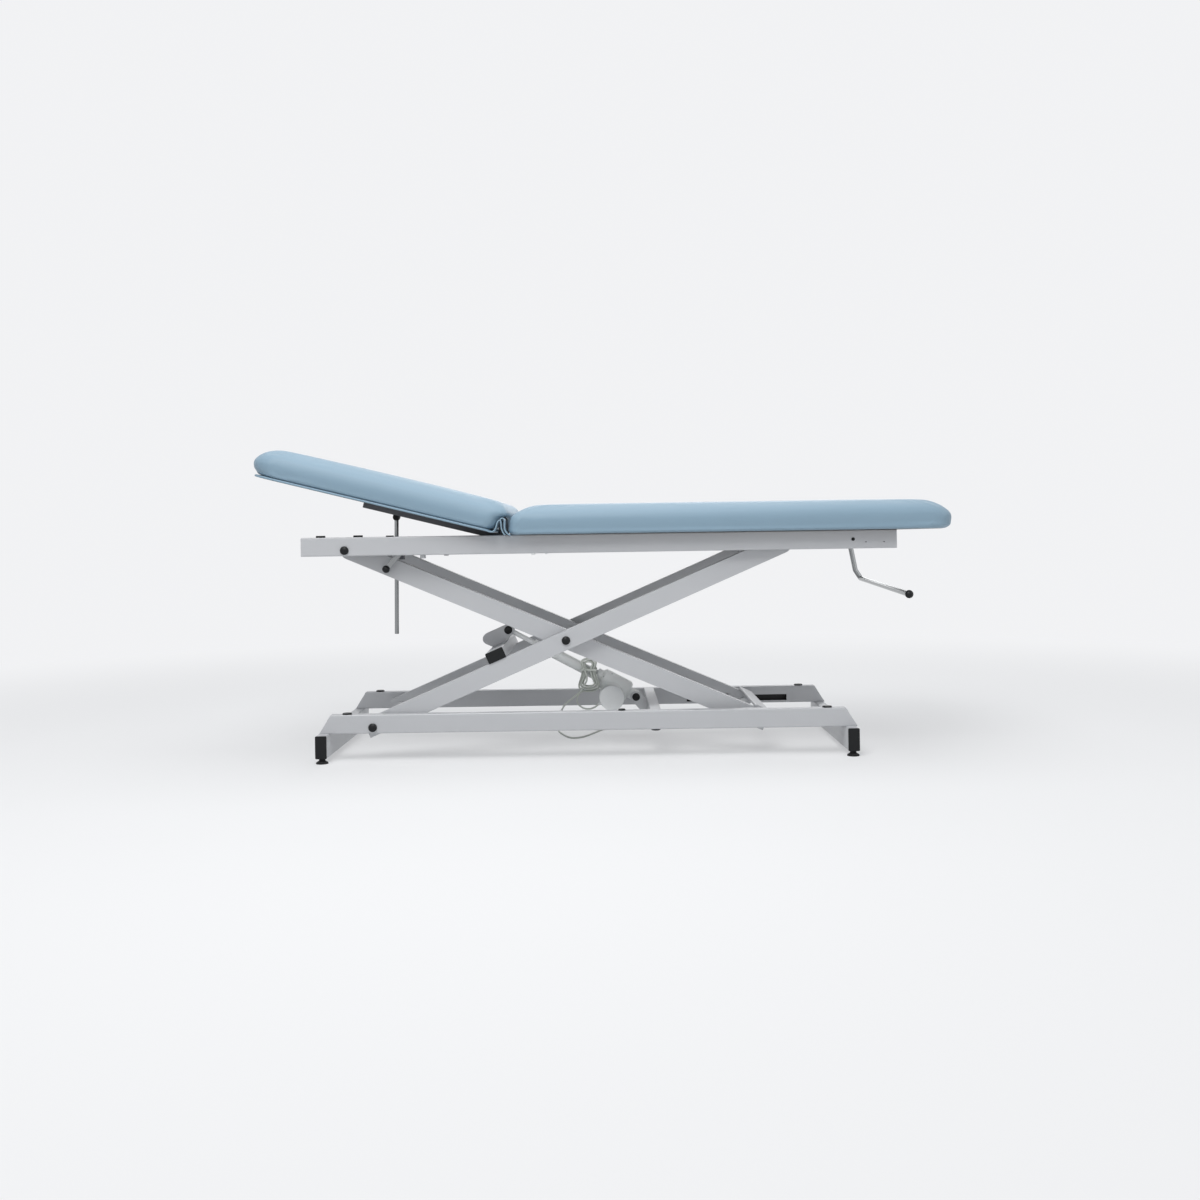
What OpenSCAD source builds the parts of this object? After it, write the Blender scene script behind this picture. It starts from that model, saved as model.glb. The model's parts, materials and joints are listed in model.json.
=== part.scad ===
// Treatment table with an electric scissor lift and a rising backrest.
// X runs along the table towards its foot end, Y across it and Z up, in millimetres.
// The floor is at Z = 0 and the origin lies on it, under the middle of the table.

/* [Lift] */
// Place of the fixed lower pivot along the table
lift_pivot_x = -618; // [-640:1:-600]
// Length of an arm from its lower pivot to the centre bolt
lower_arm_len = 560; // [540:1:580]
// Length of an arm from the centre bolt to its upper pivot
upper_arm_len = 634; // [620:1:650]
// Slope of the arms at the modelled height, in degrees
arm_angle = 23.2; // [18:0.1:30]
// Fall of the arms from there to the lowest height, in degrees
lift_down = 9; // [5:0.5:10]
// Rise of the arms from there to the greatest height, in degrees
lift_up = 13.5; // [8:0.5:15]

/* [Tubes] */
// Height of the beams and arms
beam_height = 50; // [45:1:60]
// Width of the beams and arms
beam_width = 30; // [26:1:34]
// Wall of every tube
tube_wall = 3; // [2:0.5:4]
// Outer corner radius of every tube
tube_corner = 3; // [1:0.5:5]
// Side of the square tubes that join the arms and the top beams
link_side = 30; // [20:1:32]
// Width over the outer faces of the beams
beam_span = 530; // [500:1:560]
// Gap between a beam and the outer arm, and between the arms
arm_gap = 2; // [1.5:0.1:3]

/* [Base] */
// Reach of the base beams towards the head end
base_head_reach = 761; // [740:1:790]
// Reach of the base beams towards the foot end
base_foot_reach = 668; // [660:1:690]
// Length of the slope on each end of a base beam
base_bevel = 31; // [10:1:45]
// Height of the lower pivots above the underside of the base beams
base_pivot_rise = 16; // [15:0.5:22]
// Height of the floor tubes
floor_tube_height = 60; // [40:1:70]
// Width of the floor tubes
floor_tube_width = 30; // [26:1:40]
// Length of the floor tubes without their end caps
floor_tube_len = 594; // [560:1:620]
// Distance of the middle of the floor tube from the beams' head end
floor_tube_head_inset = 12; // [4:1:24]
// Distance of the middle of the floor tube from the beams' foot end
floor_tube_foot_inset = 17; // [8:1:28]
// Gap between the floor and the floor tubes
floor_tube_gap = 14; // [12:1:24]
// Place of the middle tube of the base
middle_tube_x = 133; // [125:1:150]

/* [Levelling feet] */
// Diameter of a foot pad
pad_dia = 32; // [24:1:40]
// Height of a foot pad
pad_height = 8; // [6:0.5:9]
// Diameter of the threaded stem
stem_dia = 10; // [8:1:12]
// Length of the threaded stem
stem_len = 38; // [30:1:50]
// Distance of a foot from the end of its floor tube
foot_inset = 12; // [11:1:30]

/* [Pivots] */
// Diameter of the pivot bolts and axles
bolt_dia = 12; // [10:0.5:14]
// Diameter of the black caps over the pivot bolts
cap_dia = 23; // [18:0.5:26]
// Height of those caps
cap_rise = 7; // [4:0.5:9]
// Radial clearance of a turning bore
run_clearance = 0.05; // [0.02:0.01:0.08]
// Height of the slots that the rollers run in
slot_height = 18; // [17.5:0.5:20]
// Spare length of a slot past the travel of its roller
slot_slack = 32; // [20:1:40]
// Spare length of a base slot at the foot end
base_slot_slack = 84; // [30:1:95]
// Diameter of a roller's flanges
flange_dia = 23; // [21.5:0.5:24]

/* [Top frame] */
// Reach of the top beams past their pivot at the head end
top_head_overhang = 116; // [95:1:130]
// Reach of the top beams past their slots at the foot end
top_foot_overhang = 203.8; // [180:0.2:220]
// Height of the upper pivots above the underside of the top beams
top_pivot_rise = 15; // [14:0.5:22]
// Height of the rubber bumpers
bumper_height = 5; // [2:0.5:6]
// Length of the rubber bumpers
bumper_len = 22; // [16:1:30]

/* [Upholstery] */
// Width of both pads
pad_width = 620; // [560:1:700]
// Place of the seat pad's end beside the hinge
seat_head_x = -245; // [-250:0.5:-240]
// Place of the seat pad's foot end
seat_foot_x = 928; // [880:1:960]
// Thickness of the seat pad at its edge
seat_thickness = 80; // [70:1:95]
// Thickness of the backrest pad at its edge, with its board
back_thickness = 86; // [78:1:95]
// Extra height of the pads along their middle
crown_rise = 4; // [1:0.5:8]
// Size that the roundings of the pads follow
edge_round = 60; // [50:1:66]
// Radius of the pads' corners seen from above
corner_radius = 62; // [40:1:80]
// Thickness of the boards under the pads
board_thickness = 6; // [5:0.5:9]

/* [Backrest] */
// Angle of the backrest above level, in degrees
backrest_angle = 14.2; // [5:0.1:20]
// Place of the hinge along the table
hinge_x = -264; // [-266:0.5:-262]
// Height of the hinge above the top beams
hinge_rise = 39; // [37:0.5:41]
// Length of the backrest pad from the hinge to its head end
backrest_len = 681; // [640:1:700]
// Thickness of the steel frame under the backrest
back_frame_height = 15; // [12:0.5:18]
// Length of that frame from the hinge
back_frame_len = 378; // [370:1:450]
// Width of the flat bars of that frame
back_frame_bar = 30; // [26:1:36]

/* [Prop rod] */
// Diameter of the rod
rod_dia = 12; // [10:0.5:14]
// Length of the rod below its pin
rod_len = 333; // [320:1:345]
// Distance of its pin from the hinge along the backrest
rod_pin_back = 320; // [315:1:325]
// Distance of its pin below the backrest pad
rod_pin_drop = 25; // [24:0.5:27]
// Lean of the rod from upright, in degrees
rod_tilt = 0.69; // [0:0.01:1]
// Depth of the swivel below the underside of the top beams
swivel_drop = 5.4; // [4:0.2:8]

/* [Actuator] */
// Place of the rear pin along the table
rear_pin_x = 87; // [84:1:90]
// Height of the rear pin
rear_pin_z = 131; // [127:1:135]
// Place of the front pin along the outer arm, from its lower pivot
front_pin_along = 409.4; // [404:0.2:415]
// Distance of the front pin above the arm's middle line
front_pin_up = 80.7; // [78:0.1:84]
// Diameter of the gear housing
gear_dia = 60; // [54:1:62]
// Diameter of the motor
motor_dia = 70; // [64:1:74]
// Distance of the motor's face from the middle of the table
motor_reach = 110; // [95:1:120]
// Diameter of the outer tube
sleeve_dia = 30; // [28:1:34]
// Diameter of the piston rod
piston_dia = 22; // [20:0.5:23]

/* [Paper roll holder] */
// Diameter of the bent tube
holder_dia = 15; // [12:0.5:16]
// Diameter of its ball
holder_ball_dia = 22; // [18:0.5:26]

/* [Hidden] */
$fn = 48;

// Lengths that several pieces share
overrun = 1;
soft_gap = 0.3;
side_gap = 0.1;
snug_gap = 0.02;
nut_height = 8;
nut_dia = 20;
spacer_dia = 20;
plate_thickness = 5;
roller_play = 0.2;

// Colours
frame_paint = [0.71, 0.72, 0.73];
dark_paint = [0.18, 0.18, 0.19];
black_plastic = [0.12, 0.12, 0.13];
bright_steel = [0.78, 0.79, 0.80];
zinc = [0.66, 0.67, 0.68];
vinyl_blue = [0.60, 0.70, 0.77];
pale_plastic = [0.80, 0.82, 0.81];
nylon_white = [0.88, 0.88, 0.85];
cord_grey = [0.78, 0.78, 0.74];
birch_ply = [0.74, 0.62, 0.46];

// Faces across the table
beam_out = beam_span / 2;
beam_in = beam_out - beam_width;
beam_mid = (beam_out + beam_in) / 2;
outer_arm_out = beam_in - arm_gap;
outer_arm_in = outer_arm_out - beam_width;
inner_arm_out = outer_arm_in - arm_gap;
inner_arm_in = inner_arm_out - beam_width;

// Heights and places of the lift
base_z = floor_tube_gap + floor_tube_height;
lift_z = base_z + base_pivot_rise;
centre_x = lift_pivot_x + lower_arm_len * cos(arm_angle);
centre_z = lift_z + lower_arm_len * sin(arm_angle);
top_pivot_x = centre_x - upper_arm_len * cos(arm_angle);
top_pivot_z = centre_z + upper_arm_len * sin(arm_angle);
lower_roller_x = centre_x + lower_arm_len * cos(arm_angle);
upper_roller_x = centre_x + upper_arm_len * cos(arm_angle);
arm_len = lower_arm_len + upper_arm_len;
top_z = top_pivot_z - top_pivot_rise;
deck_z = top_z + beam_height;
steep = arm_angle + lift_up;
flat = arm_angle - lift_down;
top_slot_x0 = top_pivot_x + 2 * upper_arm_len * cos(steep) - slot_slack;
top_slot_x1 = top_pivot_x + 2 * upper_arm_len * cos(flat) + slot_slack;
top_head_x = top_pivot_x - top_head_overhang;
top_foot_x = top_slot_x1 + top_foot_overhang;
floor_tube_head_x = floor_tube_head_inset - base_head_reach;
floor_tube_foot_x = base_foot_reach - floor_tube_foot_inset;
bolt_r = bolt_dia / 2;
arm_end_r = beam_height / 2;

// Places of the backrest and its rod
hinge_z = deck_z + hinge_rise;
back_z = deck_z + soft_gap;
rod_pin_rest = turned([-rod_pin_back, back_z - rod_pin_drop - hinge_z], backrest_angle);
rod_pin_x = hinge_x + rod_pin_rest.x;
rod_pin_z = hinge_z + rod_pin_rest.y;
swivel_z = top_z - swivel_drop;
swivel_x = rod_pin_x - (rod_pin_z - swivel_z) * tan(rod_tilt);

// Places of the actuator
front_pin_x = lift_pivot_x + front_pin_along * cos(arm_angle) - front_pin_up * sin(arm_angle);
front_pin_z = lift_z + front_pin_along * sin(arm_angle) + front_pin_up * cos(arm_angle);
actuator_len = norm([front_pin_x - rear_pin_x, front_pin_z - rear_pin_z]);
actuator_turn = atan2(front_pin_z - rear_pin_z, front_pin_x - rear_pin_x);

// A point in the XZ plane turned so that its head end side rises by an angle
function turned(p, a) = [p.x * cos(a) + p.y * sin(a), p.y * cos(a) - p.x * sin(a)];

// An outline in the XZ plane carried across the table from y0 to y1
module across(y0, y1) {
    translate([0, y1, 0])
        rotate([90, 0, 0])
            linear_extrude(y1 - y0)
                children();
}

// A round bar or bore across the table at x, z
module cross_bar(x, z, r, y0, y1) {
    across(y0, y1)
        translate([x, z])
            circle(r);
}

// A piece on the front side and its mirror image on the rear side
module both_sides() {
    children();
    mirror([0, 1, 0])
        children();
}

// A rectangle with rounded corners, centred
module rounded(w, h, r) {
    square([w - 2 * r, h], center = true);
    square([w, h - 2 * r], center = true);
    for (sx = [-1, 1], sy = [-1, 1])
        translate([sx * (w / 2 - r), sy * (h / 2 - r)])
            circle(r);
}

// A slot outline of one height from x0 to x1, centred on z
module slot(x0, x1, z, h) {
    translate([x0, z - h / 2])
        square([x1 - x0, h]);
}

// A solid bar along X with rounded long edges
module bar_x(x0, x1, y, z, w, h) {
    translate([x0, y, z])
        rotate([90, 0, 90])
            linear_extrude(x1 - x0)
                rounded(w, h, tube_corner);
}

// A tube across the table, open at its ends, with its middle at x, z
module tube_y(x, z, w, h, y0, y1) {
    difference() {
        across(y0, y1)
            translate([x, z])
                rounded(w, h, tube_corner);
        across(y0 - overrun, y1 + overrun)
            translate([x, z])
                square([w - 2 * tube_wall, h - 2 * tube_wall], center = true);
    }
}

// A hexagonal nut or bolt head across the table
module hex_across(x, z, d, y0, y1) {
    across(y0, y1)
        translate([x, z])
            circle(d / 2, $fn = 6);
}

// A domed cap whose flat side faces +Y at y, in the place x, z
module dome_cap(x, y, z, d, rise) {
    rim = rise / 3;
    ball = (d * d / 4 + (rise - rim) * (rise - rim)) / (2 * (rise - rim));
    translate([x, y, z])
        rotate([90, 0, 0])
            rotate_extrude()
                intersection() {
                    union() {
                        square([d / 2, rim]);
                        translate([0, rise - ball])
                            circle(ball);
                    }
                    square([d / 2, rise]);
                }
}

// Frames of the moving parts: the outer arms, the inner arms, the backrest and the actuator
module on_outer_arms() {
    translate([lift_pivot_x, 0, lift_z])
        rotate([0, -arm_angle, 0])
            children();
}

module on_inner_arms() {
    translate([centre_x, 0, centre_z])
        rotate([0, arm_angle, 0])
            children();
}

module on_backrest() {
    translate([hinge_x, 0, hinge_z])
        rotate([0, backrest_angle, 0])
            children();
}

module on_actuator() {
    translate([rear_pin_x, 0, rear_pin_z])
        rotate([0, -actuator_turn, 0])
            children();
}

// The base

module base_outline(inset) {
    rise = beam_height - 2 * inset;
    slope = base_bevel * rise / beam_height;
    polygon([
        [-base_head_reach + inset, base_z + inset],
        [base_foot_reach - inset, base_z + inset],
        [base_foot_reach - inset - slope, base_z + inset + rise],
        [-base_head_reach + inset + slope, base_z + inset + rise],
    ]);
}

module base_beam() {
    slot_x0 = lift_pivot_x + 2 * lower_arm_len * cos(steep) - slot_slack;
    slot_x1 = lift_pivot_x + 2 * lower_arm_len * cos(flat) + base_slot_slack;
    difference() {
        intersection() {
            bar_x(-base_head_reach - overrun, base_foot_reach + overrun,
                -beam_mid, base_z + beam_height / 2, beam_width, beam_height);
            across(-beam_out - overrun, -beam_in + overrun)
                base_outline(0);
        }
        across(-beam_out + tube_wall, -beam_in - tube_wall)
            base_outline(tube_wall);
        across(-beam_in - tube_wall - overrun, -beam_in + overrun)
            slot(slot_x0, slot_x1, lift_z, slot_height);
        cross_bar(lift_pivot_x, lift_z, bolt_r + snug_gap, -beam_out - overrun, -beam_in + overrun);
    }
}

module base_beam_front() {
    color(frame_paint)
        base_beam();
}

module base_beam_rear() {
    color(frame_paint)
        mirror([0, 1, 0])
            base_beam();
}

module floor_tube(x) {
    half = floor_tube_len / 2;
    color(frame_paint)
        difference() {
            union() {
                tube_y(x, floor_tube_gap + floor_tube_height / 2,
                    floor_tube_width, floor_tube_height, -half, half);
                for (y = [-half + foot_inset, half - foot_inset])
                    translate([x, y, floor_tube_gap])
                        cylinder(d = nut_dia, h = tube_wall + nut_height);
            }
            for (y = [-half + foot_inset, half - foot_inset])
                translate([x, y, floor_tube_gap - overrun])
                    cylinder(r = stem_dia / 2 + run_clearance, h = tube_wall + nut_height + 2 * overrun);
        }
}

module floor_tube_head() {
    floor_tube(floor_tube_head_x);
}

module floor_tube_foot() {
    floor_tube(floor_tube_foot_x);
}

module base_middle_tube() {
    color(frame_paint)
        tube_y(middle_tube_x, base_z + beam_height / 2, beam_width, beam_height, -beam_in, beam_in);
}

// End caps of the floor tubes: a plate and a short plug that grips inside
cap_plate = 3;
cap_plug_len = 2;

module floor_tube_caps() {
    half = floor_tube_len / 2;
    zc = floor_tube_gap + floor_tube_height / 2;
    color(black_plastic)
        both_sides()
            for (x = [floor_tube_head_x, floor_tube_foot_x]) {
                across(-half - cap_plate, -half)
                    translate([x, zc])
                        rounded(floor_tube_width, floor_tube_height, tube_corner);
                across(-half, -half + cap_plug_len - snug_gap)
                    translate([x, zc])
                        square([floor_tube_width - 2 * tube_wall - 2 * side_gap,
                            floor_tube_height - 2 * tube_wall - 2 * side_gap], center = true);
            }
}

// Round caps over bolts, on the top and the underside of the base beams
plug_dia = 26;
small_plug_dia = 20;
plug_rise = 4;
plug_head_inset = 73;
plug_foot_inset = 78;
plug_head_x = plug_head_inset - base_head_reach;
plug_foot_x = base_foot_reach - plug_foot_inset;
plug_small_x = 43;

module flat_plug(x, y, z, d, up) {
    translate([x, y, z])
        rotate([up ? 0 : 180, 0, 0]) {
            cylinder(d = d, h = plug_rise / 2);
            translate([0, 0, plug_rise / 2])
                cylinder(d1 = d, d2 = d - plug_rise, h = plug_rise / 2);
        }
}

module base_round_caps() {
    color(black_plastic) {
        both_sides() {
            dome_cap(lift_pivot_x, -beam_out - bolt_head_rise - side_gap, lift_z, cap_dia, cap_rise);
            for (x = [plug_head_x, plug_foot_x])
                flat_plug(x, -beam_mid, base_z + beam_height, plug_dia, true);
            flat_plug(plug_small_x, -beam_mid, base_z + beam_height, small_plug_dia, true);
            flat_plug(middle_tube_x, -beam_mid, base_z, plug_dia, false);
            dome_cap(rear_pin_x, -rear_ear_out - side_gap - pin_head_rise, rear_pin_z,
                pin_cap_dia, cap_rise);
        }
    }
}

// Bracket and pin that hold the actuator's rear eye to the middle tube
rear_ear_in = 24;
rear_ear_out = rear_ear_in + plate_thickness;
rear_ear_r = 16;
pin_dia = 10;
pin_cap_dia = 22;
pin_head_rise = 2;

module actuator_rear_bracket() {
    tube_face = middle_tube_x - beam_width / 2;
    color(frame_paint)
        both_sides()
            difference() {
                across(-rear_ear_out, -rear_ear_in)
                    hull() {
                        translate([rear_pin_x, rear_pin_z])
                            circle(rear_ear_r);
                        translate([tube_face - plate_thickness, base_z + tube_corner])
                            square([plate_thickness, beam_height - 2 * tube_corner]);
                    }
                cross_bar(rear_pin_x, rear_pin_z, pin_dia / 2 + snug_gap,
                    -rear_ear_out - overrun, -rear_ear_in + overrun);
            }
    color(zinc) {
        cross_bar(rear_pin_x, rear_pin_z, pin_dia / 2,
            -rear_ear_out - side_gap, rear_ear_out + side_gap);
        both_sides()
            cross_bar(rear_pin_x, rear_pin_z, pin_cap_dia / 2,
                -rear_ear_out - side_gap - pin_head_rise, -rear_ear_out - side_gap);
    }
}

// A pivot bolt on the front side: head, shank, nut and the washers or spacers on it
bolt_head_rise = 2;

module pivot_bolt(x, z, head_y, nut_y) {
    cross_bar(x, z, cap_dia / 2, -head_y - bolt_head_rise, -head_y);
    cross_bar(x, z, bolt_r, -head_y, -nut_y + nut_height);
    hex_across(x, z, nut_dia, -nut_y + side_gap, -nut_y + nut_height);
}

module base_pivot_bolts() {
    color(zinc)
        both_sides() {
            pivot_bolt(lift_pivot_x, lift_z, beam_out + snug_gap, outer_arm_in);
            cross_bar(lift_pivot_x, lift_z, spacer_dia / 2, -beam_in + snug_gap, -outer_arm_out - side_gap);
        }
}

// A levelling foot: pad, lock nut and threaded stem
lock_nut_height = 4;
lock_nut_dia = 17;
pad_top_share = 0.55;
pad_rim_share = 0.4;

module levelling_foot(x, y) {
    translate([x, y, 0]) {
        color(black_plastic) {
            cylinder(d = pad_dia, h = pad_height * pad_rim_share);
            translate([0, 0, pad_height * pad_rim_share])
                cylinder(d1 = pad_dia, d2 = pad_dia * pad_top_share, h = pad_height * (1 - pad_rim_share));
        }
        color(zinc) {
            translate([0, 0, pad_height])
                cylinder(d = stem_dia, h = stem_len - pad_height);
            translate([0, 0, pad_height])
                cylinder(d = lock_nut_dia, h = lock_nut_height, $fn = 6);
        }
    }
}

foot_y = floor_tube_len / 2 - foot_inset;

module levelling_foot_head_front() {
    levelling_foot(floor_tube_head_x, -foot_y);
}

module levelling_foot_head_rear() {
    levelling_foot(floor_tube_head_x, foot_y);
}

module levelling_foot_tail_front() {
    levelling_foot(floor_tube_foot_x, -foot_y);
}

module levelling_foot_tail_rear() {
    levelling_foot(floor_tube_foot_x, foot_y);
}

// The arms

// Outline of an arm in its own frame, round at its upper end and cut square at its lower end
arm_cut = 24;
drain_dia = 6;

module arm_outline(upper, lower, inset) {
    r = arm_end_r - inset;
    cut = lower + sign(lower - upper) * (arm_cut - inset);
    translate([min(upper, cut), -r])
        square([abs(upper - cut), 2 * r]);
    translate([upper, 0])
        circle(r);
}

// An arm with welded bushes at the bored places
module arm(upper, lower, bores, y0, y1) {
    x0 = min(upper, lower);
    x1 = max(upper, lower);
    difference() {
        union() {
            difference() {
                across(y0, y1)
                    arm_outline(upper, lower, 0);
                across(y0 + tube_wall, y1 - tube_wall)
                    arm_outline(upper, lower, tube_wall);
            }
            for (x = bores)
                cross_bar(x, 0, bolt_r + tube_wall, y0, y1);
        }
        for (x = bores)
            cross_bar(x, 0, bolt_r + run_clearance, y0 - overrun, y1 + overrun);
        for (x = [x0 + beam_height, x1 - beam_height])
            cross_bar(x, 0, drain_dia / 2, y1 - tube_wall - overrun, y1 + overrun);
    }
}

module outer_arm() {
    on_outer_arms()
        arm(arm_len, 0, [0, lower_arm_len, arm_len], -outer_arm_out, -outer_arm_in);
}

module inner_arm() {
    on_inner_arms()
        arm(-upper_arm_len, lower_arm_len, [-upper_arm_len, 0, lower_arm_len],
            -inner_arm_out, -inner_arm_in);
}

module outer_arm_front() {
    color(frame_paint)
        outer_arm();
}

module outer_arm_rear() {
    color(frame_paint)
        mirror([0, 1, 0])
            outer_arm();
}

module inner_arm_front() {
    color(frame_paint)
        inner_arm();
}

module inner_arm_rear() {
    color(frame_paint)
        mirror([0, 1, 0])
            inner_arm();
}

// The tube that lies on the outer arms and carries the actuator's front bracket
carrier_along = 371.6;
carrier_cap = 3;

module outer_arm_lower_tube() {
    color(frame_paint)
        on_outer_arms()
            tube_y(carrier_along, (beam_height + beam_width) / 2, beam_height, beam_width,
                -outer_arm_out, outer_arm_out);
}

upper_link_back = 60;

module outer_arm_upper_tube() {
    color(frame_paint)
        on_outer_arms()
            tube_y(arm_len - upper_link_back, 0, link_side, link_side, -outer_arm_in, outer_arm_in);
}

module outer_arm_black_caps() {
    color(black_plastic)
        both_sides() {
            on_outer_arms()
                across(-outer_arm_out - carrier_cap, -outer_arm_out)
                    translate([carrier_along, (beam_height + beam_width) / 2])
                        rounded(beam_height, beam_width, tube_corner);
            dome_cap(centre_x, -outer_arm_out - bolt_head_rise - side_gap, centre_z, cap_dia, cap_rise);
            dome_cap(front_pin_x, -front_ear_out, front_pin_z, cap_dia, cap_rise);
        }
}

// Two plates on that tube that reach to the actuator's front pin
front_ear_in = 15;
front_ear_out = front_ear_in + plate_thickness;
front_ear_r = 16;
front_ear_back = 62;

module actuator_front_bracket() {
    plate_z0 = beam_height / 2 + beam_width;
    color(frame_paint)
        on_outer_arms()
            both_sides()
                across(-front_ear_out, -front_ear_in)
                    hull() {
                        translate([front_pin_along, front_pin_up])
                            circle(front_ear_r);
                        translate([front_pin_along - front_ear_back, front_pin_up])
                            circle(front_ear_r);
                        translate([carrier_along - beam_height / 2 + tube_corner, plate_z0])
                            square([beam_height - 2 * tube_corner, plate_thickness]);
                    }
}

module centre_pivot_bolts() {
    color(zinc)
        both_sides() {
            pivot_bolt(centre_x, centre_z, outer_arm_out + side_gap, inner_arm_in);
            cross_bar(centre_x, centre_z, spacer_dia / 2, -outer_arm_in + side_gap, -inner_arm_out - side_gap);
        }
}

// The rollers and their axles; a roller turns on the stretch beside the beam's inner wall
roller_in_y = beam_in + tube_wall + 4 * side_gap;
flange_width = 3;
axle_head_width = 2;
axle_head_dia = 17;

module roller_axle(x, z, arm_out) {
    head_y = roller_in_y + flange_width + side_gap;
    cross_bar(x, z, bolt_r, -head_y - axle_head_width, -arm_out + beam_width);
    cross_bar(x, z, axle_head_dia / 2, -head_y - axle_head_width, -head_y);
    hex_across(x, z, nut_dia, -arm_out + beam_width + side_gap, -arm_out + beam_width + nut_height);
}

module upper_roller_axles() {
    color(zinc)
        both_sides()
            roller_axle(upper_roller_x, top_pivot_z, outer_arm_out);
}

module lower_roller_axles() {
    color(zinc)
        both_sides() {
            roller_axle(lower_roller_x, lift_z, inner_arm_out);
            cross_bar(lower_roller_x, lift_z, spacer_dia / 2, -outer_arm_out, -inner_arm_out - side_gap);
        }
}

module roller(x, z) {
    inner_flange = beam_in - 3 * side_gap;
    color(nylon_white)
        difference() {
            union() {
                cross_bar(x, z, slot_height / 2 - roller_play, -roller_in_y - flange_width, -inner_flange);
                cross_bar(x, z, flange_dia / 2, -roller_in_y - flange_width, -roller_in_y);
                cross_bar(x, z, flange_dia / 2, -inner_flange, -outer_arm_out - 3 * side_gap);
            }
            cross_bar(x, z, bolt_r + run_clearance, -roller_in_y - flange_width - overrun,
                -outer_arm_out + overrun);
        }
}

module lower_roller_front() {
    roller(lower_roller_x, lift_z);
}

module lower_roller_rear() {
    mirror([0, 1, 0])
        roller(lower_roller_x, lift_z);
}

module upper_roller_front() {
    roller(upper_roller_x, top_pivot_z);
}

module upper_roller_rear() {
    mirror([0, 1, 0])
        roller(upper_roller_x, top_pivot_z);
}

// Links between the two inner arms: a flat bar over their lower ends and a tube near the top
lower_bar_len = 40;
lower_bar_height = 8;
top_link_back = 55;

module inner_arm_lower_bar() {
    color(frame_paint)
        on_inner_arms()
            across(-inner_arm_out, inner_arm_out)
                translate([lower_arm_len, beam_height / 2 + lower_bar_height / 2])
                    rounded(lower_bar_len, lower_bar_height, tube_corner);
}

module inner_arm_upper_tube() {
    color(frame_paint)
        on_inner_arms()
            tube_y(-upper_arm_len + top_link_back, 0, link_side, link_side, -inner_arm_in, inner_arm_in);
}

// The top frame

module top_beam() {
    difference() {
        bar_x(top_head_x, top_foot_x, -beam_mid, top_z + beam_height / 2,
            beam_width, beam_height);
        translate([top_head_x + tube_wall, -beam_out + tube_wall, top_z + tube_wall])
            cube([top_foot_x - top_head_x - 2 * tube_wall,
                beam_width - 2 * tube_wall, beam_height - 2 * tube_wall]);
        across(-beam_in - tube_wall - overrun, -beam_in + overrun)
            slot(top_slot_x0, top_slot_x1, top_pivot_z, slot_height);
        cross_bar(top_pivot_x, top_pivot_z, bolt_r + snug_gap, -beam_out - overrun, -beam_in + overrun);
    }
}

module top_beam_front() {
    color(frame_paint)
        top_beam();
}

module top_beam_rear() {
    color(frame_paint)
        mirror([0, 1, 0])
            top_beam();
}

top_tube_inset = 16;
hinge_tube_x = -212;
seat_tube_x = 232;

module top_cross_tubes() {
    places = [top_head_x + top_tube_inset, hinge_tube_x, seat_tube_x, top_foot_x - top_tube_inset];
    color(frame_paint)
        for (x = places)
            tube_y(x, deck_z - link_side / 2, link_side, link_side, -beam_in, beam_in);
}

module top_pivot_bolts() {
    color(zinc)
        both_sides() {
            pivot_bolt(top_pivot_x, top_pivot_z, beam_out + snug_gap, inner_arm_in);
            cross_bar(top_pivot_x, top_pivot_z, spacer_dia / 2, -beam_in + snug_gap, -inner_arm_out - side_gap);
        }
}

side_plug_back = 116;
side_plug_dia = 9.5;
side_plug_rise = 1.5;

module top_round_caps() {
    color(black_plastic)
        both_sides() {
            dome_cap(top_pivot_x, -beam_out - bolt_head_rise - side_gap, top_pivot_z, cap_dia, cap_rise);
            dome_cap(top_foot_x - side_plug_back, -beam_out, top_z + beam_height / 2, side_plug_dia, side_plug_rise);
        }
}

bumper_back = 50;
bumper_spacing = 100;
bumper_width = 20;

module top_bumpers() {
    color(black_plastic)
        both_sides()
            for (x = [top_head_x + bumper_back, top_head_x + bumper_back + bumper_spacing])
                translate([x, -beam_mid, deck_z])
                    linear_extrude(bumper_height)
                        rounded(bumper_len, bumper_width, tube_corner);
}

// The upholstery

// A ring of points at one level of a pad: from x0 to x1, half width hy, corner radius r
corner_steps = 5;
edge_steps = 3;
waist_share = 0.0035;

function ring(x0, x1, hy, z, r, waist = waist_share) =
    let (
        rr = min(r, (x1 - x0) / 2, hy),
        centres = [[x1 - rr, hy - rr], [x0 + rr, hy - rr], [x0 + rr, -hy + rr], [x1 - rr, -hy + rr]],
        sag = waist * (x1 - x0)
    )
    [for (k = [0:3]) each concat(
        [for (i = [0:corner_steps])
            let (a = 90 * k + 90 * i / corner_steps)
            [centres[k].x + rr * cos(a), centres[k].y + rr * sin(a), z]],
        [for (i = [1:edge_steps])
            let (
                t = i / (edge_steps + 1),
                a = 90 * (k + 1),
                p = centres[k] + rr * [cos(a), sin(a)],
                q = centres[(k + 1) % 4] + rr * [cos(a), sin(a)],
                m = p + t * (q - p),
                drawn = (k % 2 == 0) ? sag * sin(180 * t) : 0
            )
            [m.x, m.y - sign(m.y) * drawn, z]]
    )];

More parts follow.
